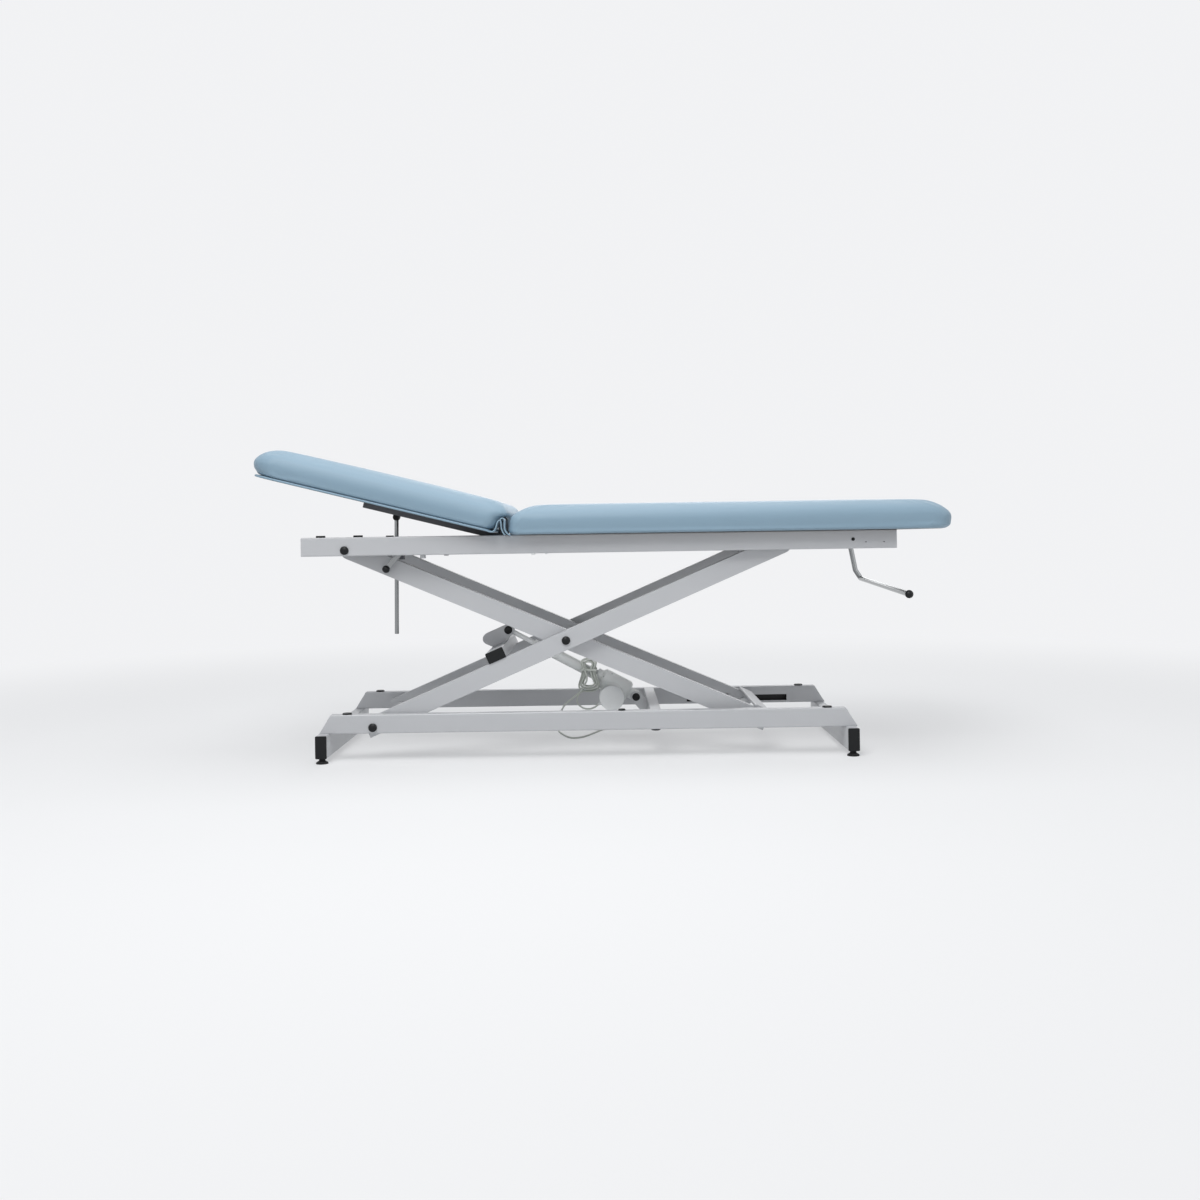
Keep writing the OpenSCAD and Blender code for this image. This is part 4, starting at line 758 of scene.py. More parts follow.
@dataclass
class MainsCord:
    """The mains cord: a lead from the motor, a tied hank, a free strand and the plug."""

    diameter: float = 5 * MM
    sides: int = 14
    fine_step: float = 2.2 * MM
    hank_centre: Triple = (-46 * MM, -31.2 * MM, 212 * MM)
    turns: float = 7.5
    nested: int = 2
    step: float = 7.4 * MM
    layer: float = 6.0 * MM
    drop: float = 62 * MM
    rise: float = 34 * MM
    low_half: float = 30 * MM
    high_half: float = 22 * MM
    waist: float = 3.2 * MM
    waist_step: float = 8.2 * MM
    tie_height: float = 7 * MM
    tie_thickness: float = 1.5 * MM
    gap: float = 0.3 * MM
    per_turn: int = 72
    tie_corner: float = 4 * MM
    tie_sag: float = 1.2 * MM
    plug_place: Triple = (96 * MM, 282 * MM, 13 * MM)
    pin_spacing: float = 9.5 * MM
    lead_route: tuple[Triple, ...] = (
        (-21.4, -22, 109.3), (-26, -22.2, 105.8), (-33, -22.6, 101.5), (-43, -23.4, 98.3),
        (-54, -24.6, 98.2), (-65, -26.2, 101.8), (-74, -27.8, 109), (-79.5, -29.2, 118.5),
        (-80.5, -30.2, 129), (-77, -30.8, 138.5), (-70, -31.1, 145.8), (-60.6, -31.2, 150),
        (-51.3, -31.2, 150),
    )
    strand_route: tuple[Triple, ...] = (
        (-51.3, -49.2, 242.3), (-56.4, -49.2, 242.3), (-61.5, -51.6, 237.5), (-63.5, -54, 230),
        (-61, -56.4, 220), (-56, -57.5, 208), (-52, -57.5, 195), (-52, -57.3, 183), (-60, -56.5, 167),
        (-71, -53, 151), (-84, -45, 139), (-97, -32, 128), (-108, -14, 117), (-116, 8, 107),
        (-122, 33, 96), (-128, 62, 83), (-134, 92, 68), (-142, 125, 49), (-153, 165, 27),
        (-166, 202, 9.5), (-175, 228, 3.4), (-182, 250, 2.6), (-182, 268, 2.6), (-174, 281, 2.6),
        (-161, 284, 2.6), (-150, 275, 2.6), (-145, 255, 2.6), (-144, 222, 2.6), (-138, 172, 2.6),
        (-118, 98, 2.6), (-105, 70, 2.6), (-90, 61, 2.6), (-73, 71, 2.6), (-56, 99, 2.6),
        (-32, 158, 2.6), (-6, 220, 2.6), (24, 259, 3), (52, 276, 5.6), (78, 282, 11.8),
        (95.7, 282, 13),
    )

    def hank_path(self) -> np.ndarray:
        """The line of the hank: loops that spiral in and out, layer on layer, drawn in at the tie.

        The angle runs once round for each turn; the sine of it and of three times it, in shares
        of the lobe and the waist, make the waisted outline.

        Returns:
            An (n, 3) array in metres.
        """
        s = np.arange(int(self.per_turn * self.turns) + 1) / self.per_turn
        angle = 2 * np.pi * s
        m = s % (2 * self.nested)
        inward = np.minimum(m, 2 * self.nested - m)
        k = np.floor(s / self.nested + 0.5)
        near = np.clip((s - k * self.nested) / 0.5, -0.5, 0.5)
        level = np.where(k == 0, 0, k + near - 0.5)
        waist = self.waist + (self.nested - inward) * self.waist_step
        low = ((self.low_half + self.high_half) / 2
               + (self.low_half - self.high_half) / 2 * np.cos(angle) - inward * self.step)
        lobe = math.sqrt(2) * low
        tall = np.where(np.cos(angle) > 0, self.drop, self.rise) - inward * self.step
        x = (lobe + waist) / 2 * np.sin(angle) + (lobe - waist) / 2 * np.sin(3 * angle)
        return np.stack([self.hank_centre[0] + x, self.hank_centre[1] - self.layer * level,
                         self.hank_centre[2] - tall * np.cos(angle)], axis=1)

    def _cord_piece(self, name: str, path: np.ndarray, palette: Palette) -> bpy.types.Object:
        """One closed tube of cord in its finish."""
        return palette.paint(tube(name, path, self.diameter / 2, self.sides), Finish.CORD)

    def build_lead(self, palette: Palette) -> None:
        """The lead from the strain relief to the hank."""
        path = even_steps(catmull(np.array(self.lead_route) * MM, 8), self.fine_step)
        piece = self._cord_piece("cord_lead_line", path, palette)
        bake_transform(piece)
        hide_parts("cord_lead")
        LOG.info("cord lead: %.3f m", path_length(path))

    def build_hank(self, palette: Palette) -> None:
        """The tied hank, one unbroken line of loops."""
        loops = self.hank_path()
        out = np.array([self.diameter, 0, 0])
        path = np.vstack([loops[:1] - out, loops, loops[-1:] - out])
        piece = self._cord_piece("cord_hank_line", path, palette)
        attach(piece, "base")
        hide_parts("cord_hank")
        LOG.info("cord hank: %.3f m", path_length(path))

    def build_strand(self, palette: Palette) -> None:
        """The free strand: down in front of the hank, along the floor and to the plug.

        Args:
            palette: the finishes.
        """
        path = even_steps(catmull(np.array(self.strand_route) * MM, 6), self.fine_step * 2)
        piece = self._cord_piece("cord_strand_line", path, palette)
        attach(piece, "base")
        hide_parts("cord_strand")
        LOG.info("cord strand: %.3f m", path_length(path))

    def build_tie(self, palette: Palette) -> None:
        """The band round the hank: a rounded strip carried round a rounded rectangle."""
        reach = self.diameter / 2 + self.gap + self.tie_thickness / 2
        half_x = self.waist + self.nested * self.waist_step + reach
        y0 = self.hank_centre[1] - 3 * self.layer - reach
        y1 = self.hank_centre[1] + reach
        half_y, middle = (y1 - y0) / 2, (y0 + y1) / 2
        corner = self.tie_corner
        a = np.linspace(0, 2 * np.pi, 96, endpoint=False)
        x = np.clip(np.cos(a) * (half_x * 1.5), -(half_x - corner), half_x - corner) + corner * np.cos(a)
        y = np.clip(np.sin(a) * (half_y * 1.5), -(half_y - corner), half_y - corner) + corner * np.sin(a)
        sag = self.tie_sag * np.sin(a * 2)
        centre = np.stack([self.hank_centre[0] + x, middle + y, self.hank_centre[2] + sag], axis=1)
        out = np.stack([np.cos(a), np.sin(a), np.zeros_like(a)], axis=1)
        b = np.linspace(0, 2 * np.pi, 12, endpoint=False)
        rings = (centre[:, None] + out[:, None] * (self.tie_thickness / 2 * np.cos(b))[None, :, None]
                 + np.array([0, 0, 1.0])[None, None] * (self.tie_height / 2 * np.sin(b))[None, :, None])
        piece = make_object("cord_tie_band", rings.reshape(-1, 3), grid_faces(len(a), len(b), looped=True))
        tidy_mesh(piece)
        palette.paint(piece, Finish.CORD)
        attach(piece, "base")
        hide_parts("cord_tie")

    def build_plug(self, palette: Palette) -> bpy.types.Object:
        """The plug: a ribbed boot and a rounded body, turned about the cord's line.

        Returns:
            The plug's piece.
        """
        boot, rib_rise, rib_step = 3.4, 0.7, 3.6
        ribs = [(0.0, 0.0), (0.0, boot)]
        for k in range(6):
            low, at = boot + 0.25 * k, rib_step * k
            ribs += [(1 + at, low + rib_rise), (2.8 + at, low + rib_rise), (3.3 + at, low), (4.2 + at, low)]
        body = ribs + [(24, 5.0), (30, 9.0), (35.5, 12.6), (38, 12.95), (40, 12.6), (42, 12.95), (44, 12.6),
                       (46, 12.95), (54, 12.9), (57, 12.2), (58, 10.5), (58, 0)]
        profile = [(x * MM, r * MM) for x, r in body]
        shell = turned("plug_shell", profile, self.plug_place, (1, 0, 0), 40)
        pin = [(x * MM, r * MM) for x, r in ((57.5, 0), (57.5, 2.3), (75.5, 2.3), (76.7, 1.6), (77, 0))]
        x, y, z = self.plug_place
        pins = [turned("plug_pin", pin, (x, y + aside, z), (1, 0, 0), 20)
                for aside in (-self.pin_spacing, self.pin_spacing)]
        piece = join_pieces("mains_plug_body", [shell])
        sharp_by_angle(piece, 50)
        palette.paint(piece, Finish.BLACK)
        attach(piece, "base")
        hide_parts("mains_plug")
        prongs = join_pieces("mains_plug_pins", pins)
        palette.paint(prongs, Finish.CHROME)
        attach(prongs, "base")
        return piece

    def build(self, palette: Palette) -> None:
        """Makes the cord and all that is on it.

        Args:
            palette: the finishes.
        """
        plug = self.build_plug(palette)
        self.build_lead(palette)
        self.build_hank(palette)
        self.build_strand(palette)
        self.build_tie(palette)


# ---------------------------------------------------------------- upholstery


CLOTH_SETTINGS = {
    "quality": 5, "mass": 0.4, "tension_stiffness": 25, "compression_stiffness": 25, "shear_stiffness": 12,
    "bending_stiffness": 1.0, "use_pressure": True,
}


@dataclass
class Inflation:
    """How a pad is puffed by the cloth simulation."""

    voxel: float = 6.5 * MM
    pressure: float = 4.0
    frames: int = 20
    cap: float = 4.5 * MM
    shrink: float = 3.5 * MM
    held_height: float = 10 * MM

    def run(self, piece: bpy.types.Object, floor_z: float) -> None:
        """Remeshes a pad, blows it up a little and keeps the result.

        Points near its underside are pinned, and no point moves further than the cap.

        Args:
            piece: the pad, drawn level.
            floor_z: the height of its underside.
        """
        remesh = piece.modifiers.new("remesh", "REMESH")
        remesh.mode = "VOXEL"
        remesh.voxel_size = self.voxel
        self._apply(piece)
        start = read_points(piece.data)
        group = piece.vertex_groups.new(name="held")
        held = np.nonzero(start[:, 2] < floor_z + self.held_height)[0]
        group.add(held.tolist(), 1.0, "REPLACE")
        cloth = piece.modifiers.new("cloth", "CLOTH")
        for name, value in CLOTH_SETTINGS.items():
            setattr(cloth.settings, name, value)
        cloth.settings.uniform_pressure_force = self.pressure
        cloth.settings.vertex_group_mass = "held"
        cloth.settings.effector_weights.gravity = 0
        cloth.point_cache.frame_start = 1
        cloth.point_cache.frame_end = self.frames
        bpy.context.view_layer.update()
        scene = bpy.context.scene
        for number in range(1, self.frames + 1):
            scene.frame_set(number)
        posed = piece.evaluated_get(bpy.context.evaluated_depsgraph_get())
        moved = read_points(posed.data) - start
        far = np.linalg.norm(moved, axis=1, keepdims=True)
        moved *= np.minimum(1.0, self.cap / np.maximum(far, 1e-9))
        piece.modifiers.clear()
        piece.vertex_groups.clear()
        write_points(piece.data, start + moved)
        scene.frame_set(1)

    @staticmethod
    def _apply(piece: bpy.types.Object) -> None:
        """Replaces a piece's mesh with the one its modifiers make."""
        graph = bpy.context.evaluated_depsgraph_get()
        mesh = bpy.data.meshes.new_from_object(piece.evaluated_get(graph))
        old = piece.data
        piece.modifiers.clear()
        piece.data = mesh
        bpy.data.meshes.remove(old)


@dataclass
class Pad:
    """One pad: rings of a rounded rectangle stacked from its underside to its crown.

    Each level is (height, head inset, foot inset, side inset) in millimetres. Insets are counted
    inwards from the pad's ends and sides.
    """

    name: str
    node: str
    body: str
    x0: float
    x1: float
    half_width: float
    z0: float
    head_corner: float
    foot_corner: float
    levels: tuple[tuple[float, float, float, float], ...]
    waist: float = 2.0
    pleats: float = 0.7
    pleat_waves: float = 22.0
    pleat_fade: float = 1.4
    thickness: float = 80 * MM
    fill: float = 0.98
    inflation: Inflation = field(default_factory=Inflation)

    def outline(self, x0: np.ndarray, x1: np.ndarray, half: np.ndarray, head: np.ndarray,
                foot: np.ndarray) -> np.ndarray:
        """Points round one rounded rectangle for each level, as (levels, points, 2).

        Each quarter is an arc about its corner's centre, and the straight runs between the arcs
        are split evenly; the middles of the long ones are drawn in like a half wave.

        Args:
            x0: where each level ends towards the head.
            x1: where it ends towards the foot.
            half: half its width.
            head: radius of its two corners at the head end.
            foot: radius of the other two.

        Returns:
            The points, level by level.
        """
        a = np.linspace(0, np.pi / 2, ARC_STEPS)
        u = np.linspace(0, 1, 2 * ARC_STEPS + 2)[1:-1]
        quarters = ((1, 1, foot), (-1, 1, head), (-1, -1, head), (1, -1, foot))
        rows = []
        for q, (sx, sy, corner) in enumerate(quarters):
            turn = q * np.pi / 2
            centre = np.stack([np.where(sx > 0, x1 - corner, x0 + corner), sy * (half - corner)], -1)
            round_it = np.stack([np.cos(turn + a), np.sin(turn + a)], -1)[None]
            arc = centre[:, None] + corner[:, None, None] * round_it
            nx, ny, after = quarters[(q + 1) % 4]
            end = np.array([np.cos(turn + np.pi / 2), np.sin(turn + np.pi / 2)])
            p = arc[:, -1]
            r = np.stack([np.where(nx > 0, x1 - after, x0 + after), ny * (half - after)], -1)
            run = p[:, None] + (r + after[:, None] * end - p)[:, None] * u[None, :, None]
            draw = self.waist * MM * np.sin(np.pi * u) * (1.0 if q % 2 == 0 else 0.1)
            run = run - end[None, None] * draw[None, :, None]
            rows += [arc, run]
        return np.concatenate(rows, axis=1)

    def build_mesh(self, shrink: float) -> bpy.types.Object:
        """The pad's closed skin, drawn level.

        Args:
            shrink: how far the whole pad stands back from its true size.

        Returns:
            The new object.
        """
        table = catmull(np.array(self.levels, float), 4) * MM
        z = self.z0 + table[:, 0]
        x0 = self.x0 + table[:, 1] + shrink
        x1 = self.x1 - table[:, 2] - shrink
        half = self.half_width - table[:, 3] - shrink
        z = np.maximum(z - shrink * (table[:, 0] > 0.05), self.z0)
        most = np.minimum(half, (x1 - x0) / 2) * self.fill
        head, foot = np.minimum(self.head_corner, most), np.minimum(self.foot_corner, most)
        points = with_heights(self.outline(x0, x1, half, head, foot), z)
        rows, columns = points.shape[:2]
        middle = [[(x0[0] + x1[0]) / 2, 0, z[0]], [(x0[-1] + x1[-1]) / 2, 0, z[-1]]]
        flat = np.vstack([points.reshape(-1, 3), middle])
        count = rows * columns
        faces = grid_faces(rows, columns) + fan_faces(count, 0, columns, flip=True)
        return make_object(self.name, flat, faces + fan_faces(count + 1, count - columns, columns))

    def fit(self, piece: bpy.types.Object, low: np.ndarray, high: np.ndarray) -> None:
        """Brings the puffed pad back to its true size, each axis scaled evenly between its ends.

        Args:
            piece: the pad, drawn level.
            low: the lowest corner it should reach.
            high: the highest corner it should reach.
        """
        co = read_points(piece.data)
        now_low, now_high = co.min(axis=0), co.max(axis=0)
        write_points(piece.data, low + (co - now_low) * (high - low) / (now_high - now_low))

    def add_pleats(self, piece: bpy.types.Object) -> None:
        """Small pulled folds at the four corners, where the cover is gathered under the pad.

        The fold is a sine of the angle about the corner, strongest low down and fading upwards.
        """
        co = read_points(piece.data)
        inner_x = np.clip(co[:, 0], self.x0 + self.head_corner, self.x1 - self.foot_corner)
        corner = np.where(co[:, 0] < (self.x0 + self.x1) / 2, self.head_corner, self.foot_corner)
        inner_y = np.clip(co[:, 1], corner - self.half_width, self.half_width - corner)
        dx, dy = co[:, 0] - inner_x, co[:, 1] - inner_y
        r = np.hypot(dx, dy)
        both = (np.abs(dx) > 1e-6) & (np.abs(dy) > 1e-6)
        angle = np.arctan2(np.abs(dy), np.abs(dx))
        height = (co[:, 2] - self.z0) / self.thickness
        fade = np.clip(1 - height * self.pleat_fade, 0, 1) * (height > 0.02)
        weight = both * np.clip(np.sin(2 * angle), 0, 1) * fade
        push = self.pleats * MM * np.sin(angle * self.pleat_waves) * weight
        scale = np.where(r > 1e-6, push / np.maximum(r, 1e-6), 0)
        co[:, 0] += dx * scale
        co[:, 1] += dy * scale
        write_points(piece.data, co)

    def build(self, palette: Palette, place: Matrix) -> None:
        """Makes the pad, puffs it and sets it in its place.

        Args:
            palette: the finishes.
            place: where the level pad goes.
        """
        piece = self.build_mesh(self.inflation.shrink)
        self.inflation.run(piece, self.z0)
        table = catmull(np.array(self.levels, float), 4) * MM
        low = np.array([self.x0 + table[:, 1].min(), -self.half_width, self.z0 + table[:, 0].min()])
        high = np.array([self.x1 - table[:, 2].min(), self.half_width, self.z0 + table[:, 0].max()])
        self.fit(piece, low, high)
        self.add_pleats(piece)
        smooth = piece.modifiers.new("smooth", "SUBSURF")
        smooth.levels = smooth.render_levels = 1
        piece.data.transform(place)
        smooth_all(piece.data)
        palette.paint(piece, Finish.VINYL)
        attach(piece, self.body)
        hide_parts(self.node)
        LOG.info("%s: %d faces", self.name, len(piece.data.polygons))


@dataclass
class Upholstery:
    """Both pads, the rim under the backrest pad and the folded strips at the hinge."""

    hinge: Triple = (-0.264, 0.0, 0.63437)
    back_angle: float = 14.2
    deck: float = 0.59537
    gap: float = 0.3 * MM
    half_width: float = 0.310
    seat_x0: float = -0.2505
    seat_x1: float = 0.928
    back_len: float = 0.681
    corner: float = 0.062
    hinge_corner: float = 0.030

    def hinge_place(self) -> Matrix:
        """The place of what is drawn level about the backrest's hinge."""
        return Matrix.Translation(self.hinge) @ Matrix.Rotation(math.radians(self.back_angle), 4, "Y")

    def seat(self, palette: Palette) -> None:
        """The seat pad."""
        levels = (
            (0.0, 30, 36, 30), (0.0, 18, 26, 14), (1.0, 11, 20, 8.5), (5.6, 2.6, 12.2, 3.8), (10.5, .9, 7, 2.2),
            (16, 0, 3.2, 1.2), (32, .4, .6, 0), (45, 4.2, 6, 1.2), (54.5, 9.2, 13.2, 3.6), (63.2, 19, 24, 8.4),
            (70.4, 36, 37.2, 16.8), (75.2, 56, 52.8, 28.2), (78.4, 80, 75, 45), (80, 124, 120, 90),
            (82, 184, 180, 144), (83.4, 254, 252, 198), (84, 302, 300, 252),
        )
        Pad("seat_pad", "seat_cushion", "upper_frame", self.seat_x0, self.seat_x1, self.half_width,
            self.deck + self.gap, self.hinge_corner, self.corner, levels).build(palette, Matrix.Identity(4))

    def backrest(self, palette: Palette) -> None:
        """The backrest pad, drawn level about its hinge and then raised."""
        levels = (
            (7.0, 40, 40, 30), (7.0, 30, 30, 14), (8.2, 21, 26.5, 8), (11.2, 15, 23.4, 3.6), (17, 7, 18.6, 2),
            (23.2, 3, 16.2, 1.2), (34.4, 0, 14.0, 0), (41.5, .8, 11.4, .6), (46.0, 3.0, 0, 1.2), (51.3, 4.8, -7, 2.0),
            (58.5, 8.4, -9.0, 3.6), (65.4, 14.4, -5.4, 7.2), (73, 25, 1.0, 13.8), (80, 41, 9.8, 25),
            (84.3, 59, 20.6, 39.6), (86, 90, 37.4, 66), (88, 180, 120, 132), (89.4, 252, 180, 192),
            (90, 300, 240, 252),
        )
        base = self.deck + self.gap - self.hinge[2]
        Pad("backrest_pad", "backrest_cushion", "backrest", -self.back_len, 0.0, self.half_width, base, self.corner,
            self.hinge_corner, levels).build(palette, self.hinge_place())

    def rim(self, palette: Palette) -> None:
        """The covered board edge under the backrest pad: a small rounded strip along its outline."""
        base = self.deck + self.gap - self.hinge[2]
        thick, tall, squareness = 5.2 * MM, 3.1 * MM, 0.7
        inset, head_inset, foot_inset, rise = 7.6 * MM, 8 * MM, 17 * MM, 3.4 * MM
        head_corner, foot_corner = 0.050, 0.026
        a = np.linspace(0, 2 * np.pi, 16, endpoint=False)
        out = thick * np.sign(np.cos(a)) * np.abs(np.cos(a)) ** squareness
        up = tall * np.sign(np.sin(a)) * np.abs(np.sin(a)) ** squareness
        pad = Pad("rim", "", "", -self.back_len, 0, self.half_width, base, self.corner, self.hinge_corner, ())
        count = len(a)
        x0 = np.full(count, -self.back_len + inset + head_inset) - out
        x1 = np.full(count, -inset - foot_inset) + out
        half = np.full(count, self.half_width - inset) + out
        ring = pad.outline(x0, x1, half, np.full(count, head_corner) + out, np.full(count, foot_corner) + out)
        points = with_heights(ring, base + rise + up)
        faces = grid_faces(*points.shape[:2], looped=True)
        piece = make_object("backrest_rim", points.reshape(-1, 3), faces)
        tidy_mesh(piece)
        piece.data.transform(self.hinge_place())
        palette.paint(piece, Finish.VINYL)
        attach(piece, "backrest")
        LOG.info("backrest_rim: %d faces", len(piece.data.polygons))

    def folds(self, palette: Palette) -> None:
        """The strips of cover that hang in two folds between the pads, at each side."""
        outer = ((-306, 607.5), (-298, 604.4), (-290.5, 604), (-284.5, 608), (-280, 617), (-277, 626), (-273, 633.2),
                 (-268.6, 634.2), (-266.8, 628), (-266.8, 619), (-265.6, 610), (-262, 601), (-257.4, 595.4))
        inner = ((-269, 636.8), (-264.4, 638.6), (-259.8, 637), (-257.8, 631), (-258, 621), (-257.2, 610),
                 (-253.8, 602), (-248.8, 596.6), (-243, 594.6))
        middle = 0.287
        self.fold(palette, "outer_fold", outer, middle, 0.0205)
        self.fold(palette, "inner_fold", inner, middle, 0.0200)

    def fold(self, palette: Palette, label: str, line: Sequence[tuple[float, float]], middle: float,
             half: float) -> None:
        """One folded strip at each side: a curve in the side view, carried across and given a thickness.

        The free edges wave a little, with the square of the distance from the strip's middle.

        Args:
            palette: the finishes.
            label: the strip's name.
            line: its curve, (x, z) in millimetres.
            middle: distance of its middle from the table's middle.
            half: half its width.
        """
        route = catmull(np.array(line, float) * MM, 6)
        along = np.gradient(route, axis=0)
        along /= np.linalg.norm(along, axis=1, keepdims=True)
        out = np.stack([-along[:, 1], along[:, 0]], axis=1)
        thick, wave_height = 1.7 * MM, 1.2 * MM
        y = np.linspace(-1, 1, 12)
        wave = wave_height * np.sin(np.linspace(0, 9, len(route)))[:, None] * (y[None] ** 2)
        sheets = []
        for sign in (1, -1):
            x = route[:, 0, None] + sign * thick * out[:, 0, None] + wave * 0.4
            z = route[:, 1, None] + sign * thick * out[:, 1, None] + wave * 0.3
            across = np.broadcast_to(-(middle + half * y)[None], x.shape)
            sheets.append(np.stack([x, across, z], -1))
        rows, columns = sheets[0].shape[:2]
        points = np.concatenate([s.reshape(-1, 3) for s in sheets])
        count = rows * columns
        top = grid_faces(rows, columns, closed=False)
        under = [tuple(reversed([i + count for i in f])) for f in top]
        border = ([r * columns for r in range(rows)] + [(rows - 1) * columns + c for c in range(1, columns)]
                  + [r * columns + columns - 1 for r in range(rows - 2, -1, -1)] + list(range(columns - 2, 0, -1)))
        walls = [(border[i], border[(i + 1) % len(border)], border[(i + 1) % len(border)] + count, border[i] + count)
                 for i in range(len(border))]
        for side, place in ((1, "front"), (-1, "rear")):
            copy = points.copy()
            copy[:, 1] *= side
            piece = make_object(f"{label}_{place}", copy, top + under + walls)
            tidy_mesh(piece)
            palette.paint(piece, Finish.VINYL)
            LOG.info("%s: %d faces", piece.name, len(piece.data.polygons))
            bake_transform(piece)

    def build(self, palette: Palette) -> None:
        """Makes all the upholstery.

        Args:
            palette: the finishes.
        """
        self.seat(palette)
        self.backrest(palette)
        self.rim(palette)
        self.folds(palette)


# ---------------------------------------------------------------- small fittings


@dataclass
class Fittings:
    """Weld beads at the tube joints, screws and rings on the drive, and small plugs on the top beams."""

    bead: float = 1.2 * MM
    ripple: float = 0.12
    ripple_length: float = 2.6 * MM
    beam_in: float = 0.235
    beam_out: float = 0.265
    arm_angle: float = 23.2
    link_half: float = 0.015
    base_top: float = 0.124
    base_bottom: float = 0.074
    top_bottom: float = 0.56537
    cross_tubes: tuple[float, ...] = (-0.786, -0.212, 0.232, 0.763)
    floor_tubes: tuple[float, ...] = (-0.749, 0.651)
    middle_tube: tuple[float, float] = (0.118, 0.148)
    outer_joint: Triple = (0.42430, 0.203, 0.53675)
    inner_joint: Triple = (-0.63545, 0.171, 0.53870)
    motor_axis: tuple[float, float] = (0.018, 0.139)
    motor_face: float = -0.110
    screw_places: tuple[tuple[float, float], ...] = ((62, 185), (76, 178), (88, 150), (-4, 190), (20, 196))
    beam_underside: float = 0.54537
    plug_y: float = -0.258
    pin_places: tuple[float, float] = (0.697, 0.745)
    pin_height: float = 0.5627

    def weld(self, corners: Sequence[Sequence[float]], across: Sequence[float]) -> bpy.types.Object:
        """A weld bead along straight runs: a thin tube whose radius swells and shrinks like a sine.

        Args:
            corners: the points it passes, in metres.
            across: a direction across its first run.

        Returns:
            The bead.
        """
        path = even_steps(np.array(corners, float), self.ripple_length / 4)
        run = np.arange(len(path)) * self.ripple_length / 4
        radius = self.bead * (1 + self.ripple * np.sin(2 * np.pi * run / self.ripple_length))
        radius[[0, -1]] *= 0.4
        return tube("bead", path, radius, 8, across)

    def square_joint(self, x: float, y: float, z: float, degrees: float) -> bpy.types.Object:
        """A bead round the end of a turned square tube that meets a wall at y."""
        h = self.link_half
        turn = math.radians(degrees)
        flat = np.array([(-h, -h), (h, -h), (h, h), (-h, h), (-h, -h + 1 * MM)])
        placed = [(x + a * math.cos(turn) - b * math.sin(turn), y, z + a * math.sin(turn) + b * math.cos(turn))
                  for a, b in flat]
        return self.weld(placed, (0, 1, 0))

    def finish_piece(self, palette: Palette, name: str, parts: Iterable[bpy.types.Object], finish: Finish,
                     body: str, crisp: float = 60) -> None:
        """Joins parts into one piece, dresses it and lets it ride on a body."""
        piece = join_pieces(name, parts)
        tidy_mesh(piece)
        sharp_by_angle(piece, crisp)
        palette.paint(piece, finish)
        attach(piece, body)
        LOG.info("%s: %d faces", name, len(piece.data.polygons))

    def welds(self, palette: Palette) -> None:
        """The beads of the base, of the top frame and of both pairs of arms."""
        edge = 2 * MM
        base, top, outer, inner = [], [], [], []
        for side in (-1, 1):
            y = side * self.beam_in
            for x in self.middle_tube:
                base.append(self.weld([(x, y, self.base_bottom + edge), (x, y, self.base_top - edge)], (0, 1, 0)))
            for x in self.floor_tubes:
                ends = (x - self.link_half + edge, x + self.link_half - edge)
                for wall in (self.beam_in, self.beam_out):
                    base.append(self.weld([(end, side * wall, self.base_bottom) for end in ends], (0, 1, 0)))
            for x in self.cross_tubes:
                low, high = self.top_bottom, self.top_bottom + 2 * self.link_half - edge
                top.append(self.weld([(x - self.link_half, y, high), (x - self.link_half, y, low),
                                      (x + self.link_half, y, low), (x + self.link_half, y, high)], (0, 1, 0)))
            for parts, (x, wall, z), degrees in ((outer, self.outer_joint, self.arm_angle),
                                                 (inner, self.inner_joint, -self.arm_angle)):
                parts.append(self.square_joint(x, side * wall, z, degrees))
        for name, parts, body in (("base_weld_beads", base, "base"), ("top_weld_beads", top, "upper_frame"),
                                  ("outer_arm_weld_beads", outer, "outer_arms"),
                                  ("inner_arm_weld_beads", inner, "inner_arms")):
            self.finish_piece(palette, name, parts, Finish.FRAME, body)

    @staticmethod
    def pan_head(place: Sequence[float], normal: Sequence[float], radius: float) -> bpy.types.Object:
        """A domed screw head with a round socket, turned about the wall's normal."""
        r = radius
        profile = [(-0.2 * MM, 0), (-0.2 * MM, r), (0.3 * r, r), (0.48 * r, 0.86 * r), (0.6 * r, 0.62 * r),
                   (0.64 * r, 0.42 * r), (0.62 * r, 0.34 * r), (0.3 * r, 0.3 * r), (0.26 * r, 0)]
        return turned("screw", profile, place, normal, 24)

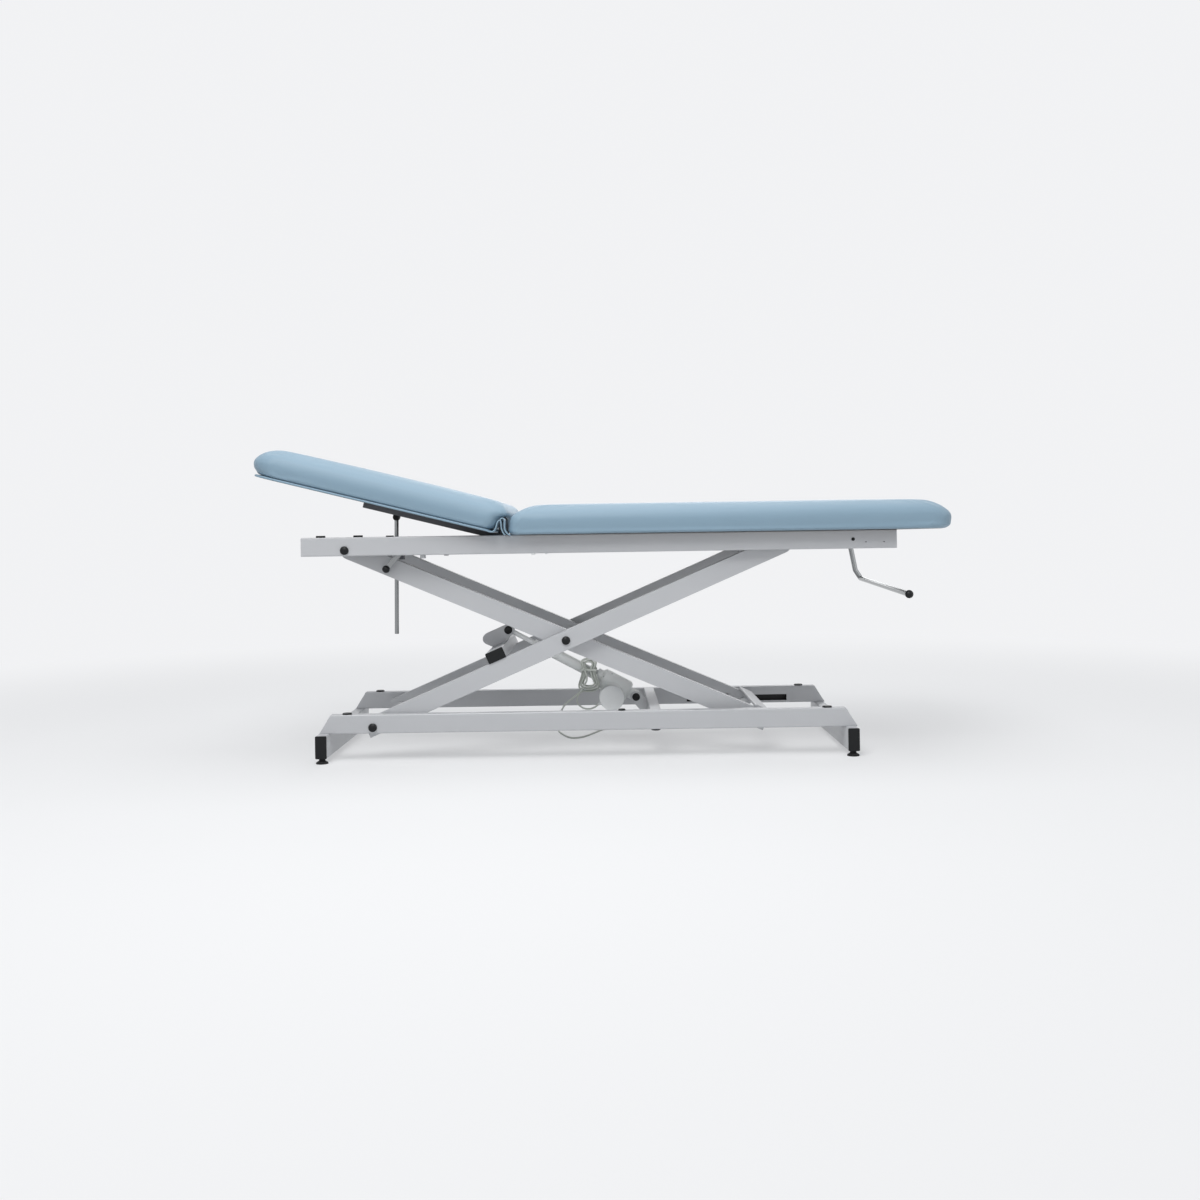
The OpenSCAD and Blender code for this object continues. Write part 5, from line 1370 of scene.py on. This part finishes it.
    def drive_trims(self, palette: Palette, frame: dict) -> None:
        """Rings on the motor, and screws wherever a straight line from the front meets the gear housing."""
        x, z = self.motor_axis
        rings = []
        for start, low, high, depth in ((-98.5, 34.6, 35.5, 2.2), (-60.5, 34.6, 35.6, 3.0)):
            loop = [(start, low), (start + 0.3, high), (start + depth - 0.3, high), (start + depth, low),
                    (start, low)]
            rings.append(turned("ring", [(a * MM, r * MM) for a, r in loop], (x, 0, z), (0, 1, 0), 96))
        self.finish_piece(palette, "motor_rings", rings, Finish.HOUSING, "actuator", 30)
        profile = [(0.4, 0), (-0.6, 0), (-0.6, 29), (-0.4, 29.6), (-0.4, 30.6), (-0.7, 31.2), (-0.7, 32.8),
                   (0.1, 34.2), (0.4, 34.2), (0.4, 0)]
        cap = turned("cap", [(a * MM, r * MM) for a, r in profile], (x, self.motor_face, z), (0, 1, 0), 96)
        self.finish_piece(palette, "motor_end_cap", [cap], Finish.NYLON, "actuator", 30)
        housing = frame["nodes"]["actuator_housing"]
        screws = []
        for px, pz in self.screw_places:
            hit, place, normal, _ = housing.ray_cast(Vector((px * MM, -0.3, pz * MM)), Vector((0, 1, 0)))
            if hit and normal.y < -0.3:
                screws.append(self.pan_head(tuple(place), tuple(normal), 2.4 * MM))
        if screws:
            self.finish_piece(palette, "housing_screws", screws, Finish.ZINC, "actuator", 30)

    def beam_plugs(self, palette: Palette) -> None:
        """Two plugs under the front top beam, whose white colour is painted highlight standing in for the glint on
        bolt heads, and two pin heads near its foot end.
        """
        # painted highlight: these heads get the white nylon finish so that their white stands in for the glint on bolt
        # heads
        plugs = [self.pan_head((x, self.plug_y, self.beam_underside), (0, 0, -1), radius)
                 for x, radius in ((-0.186, 6 * MM), (-0.151, 4 * MM))]
        self.finish_piece(palette, "underside_highlight_plugs", plugs, Finish.NYLON, "upper_frame", 30)
        pins = [self.pan_head((x, -self.beam_out, self.pin_height), (0, -1, 0), 1.5 * MM)
                for x in self.pin_places]
        self.finish_piece(palette, "beam_pins", pins, Finish.BLACK, "upper_frame", 30)

    def build(self, palette: Palette, frame: dict) -> None:
        """Makes all the small fittings.

        Args:
            palette: the finishes.
        """
        self.welds(palette)
        self.drive_trims(palette, frame)
        self.beam_plugs(palette)


# ---------------------------------------------------------------- main


def corners() -> list[list[float]]:
    """The lowest and highest corner of the shown object."""
    return [list(corner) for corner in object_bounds()]


def main() -> None:
    """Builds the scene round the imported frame."""
    logging.basicConfig(level=logging.INFO, format="%(name)s %(message)s")
    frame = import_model()
    Studio().build()
    palette = Palette()
    palette.dress_frame(frame)
    MainsCord().build(palette)
    Upholstery().build(palette)
    Fittings().build(palette, frame)


if __name__ == "__main__":
    main()
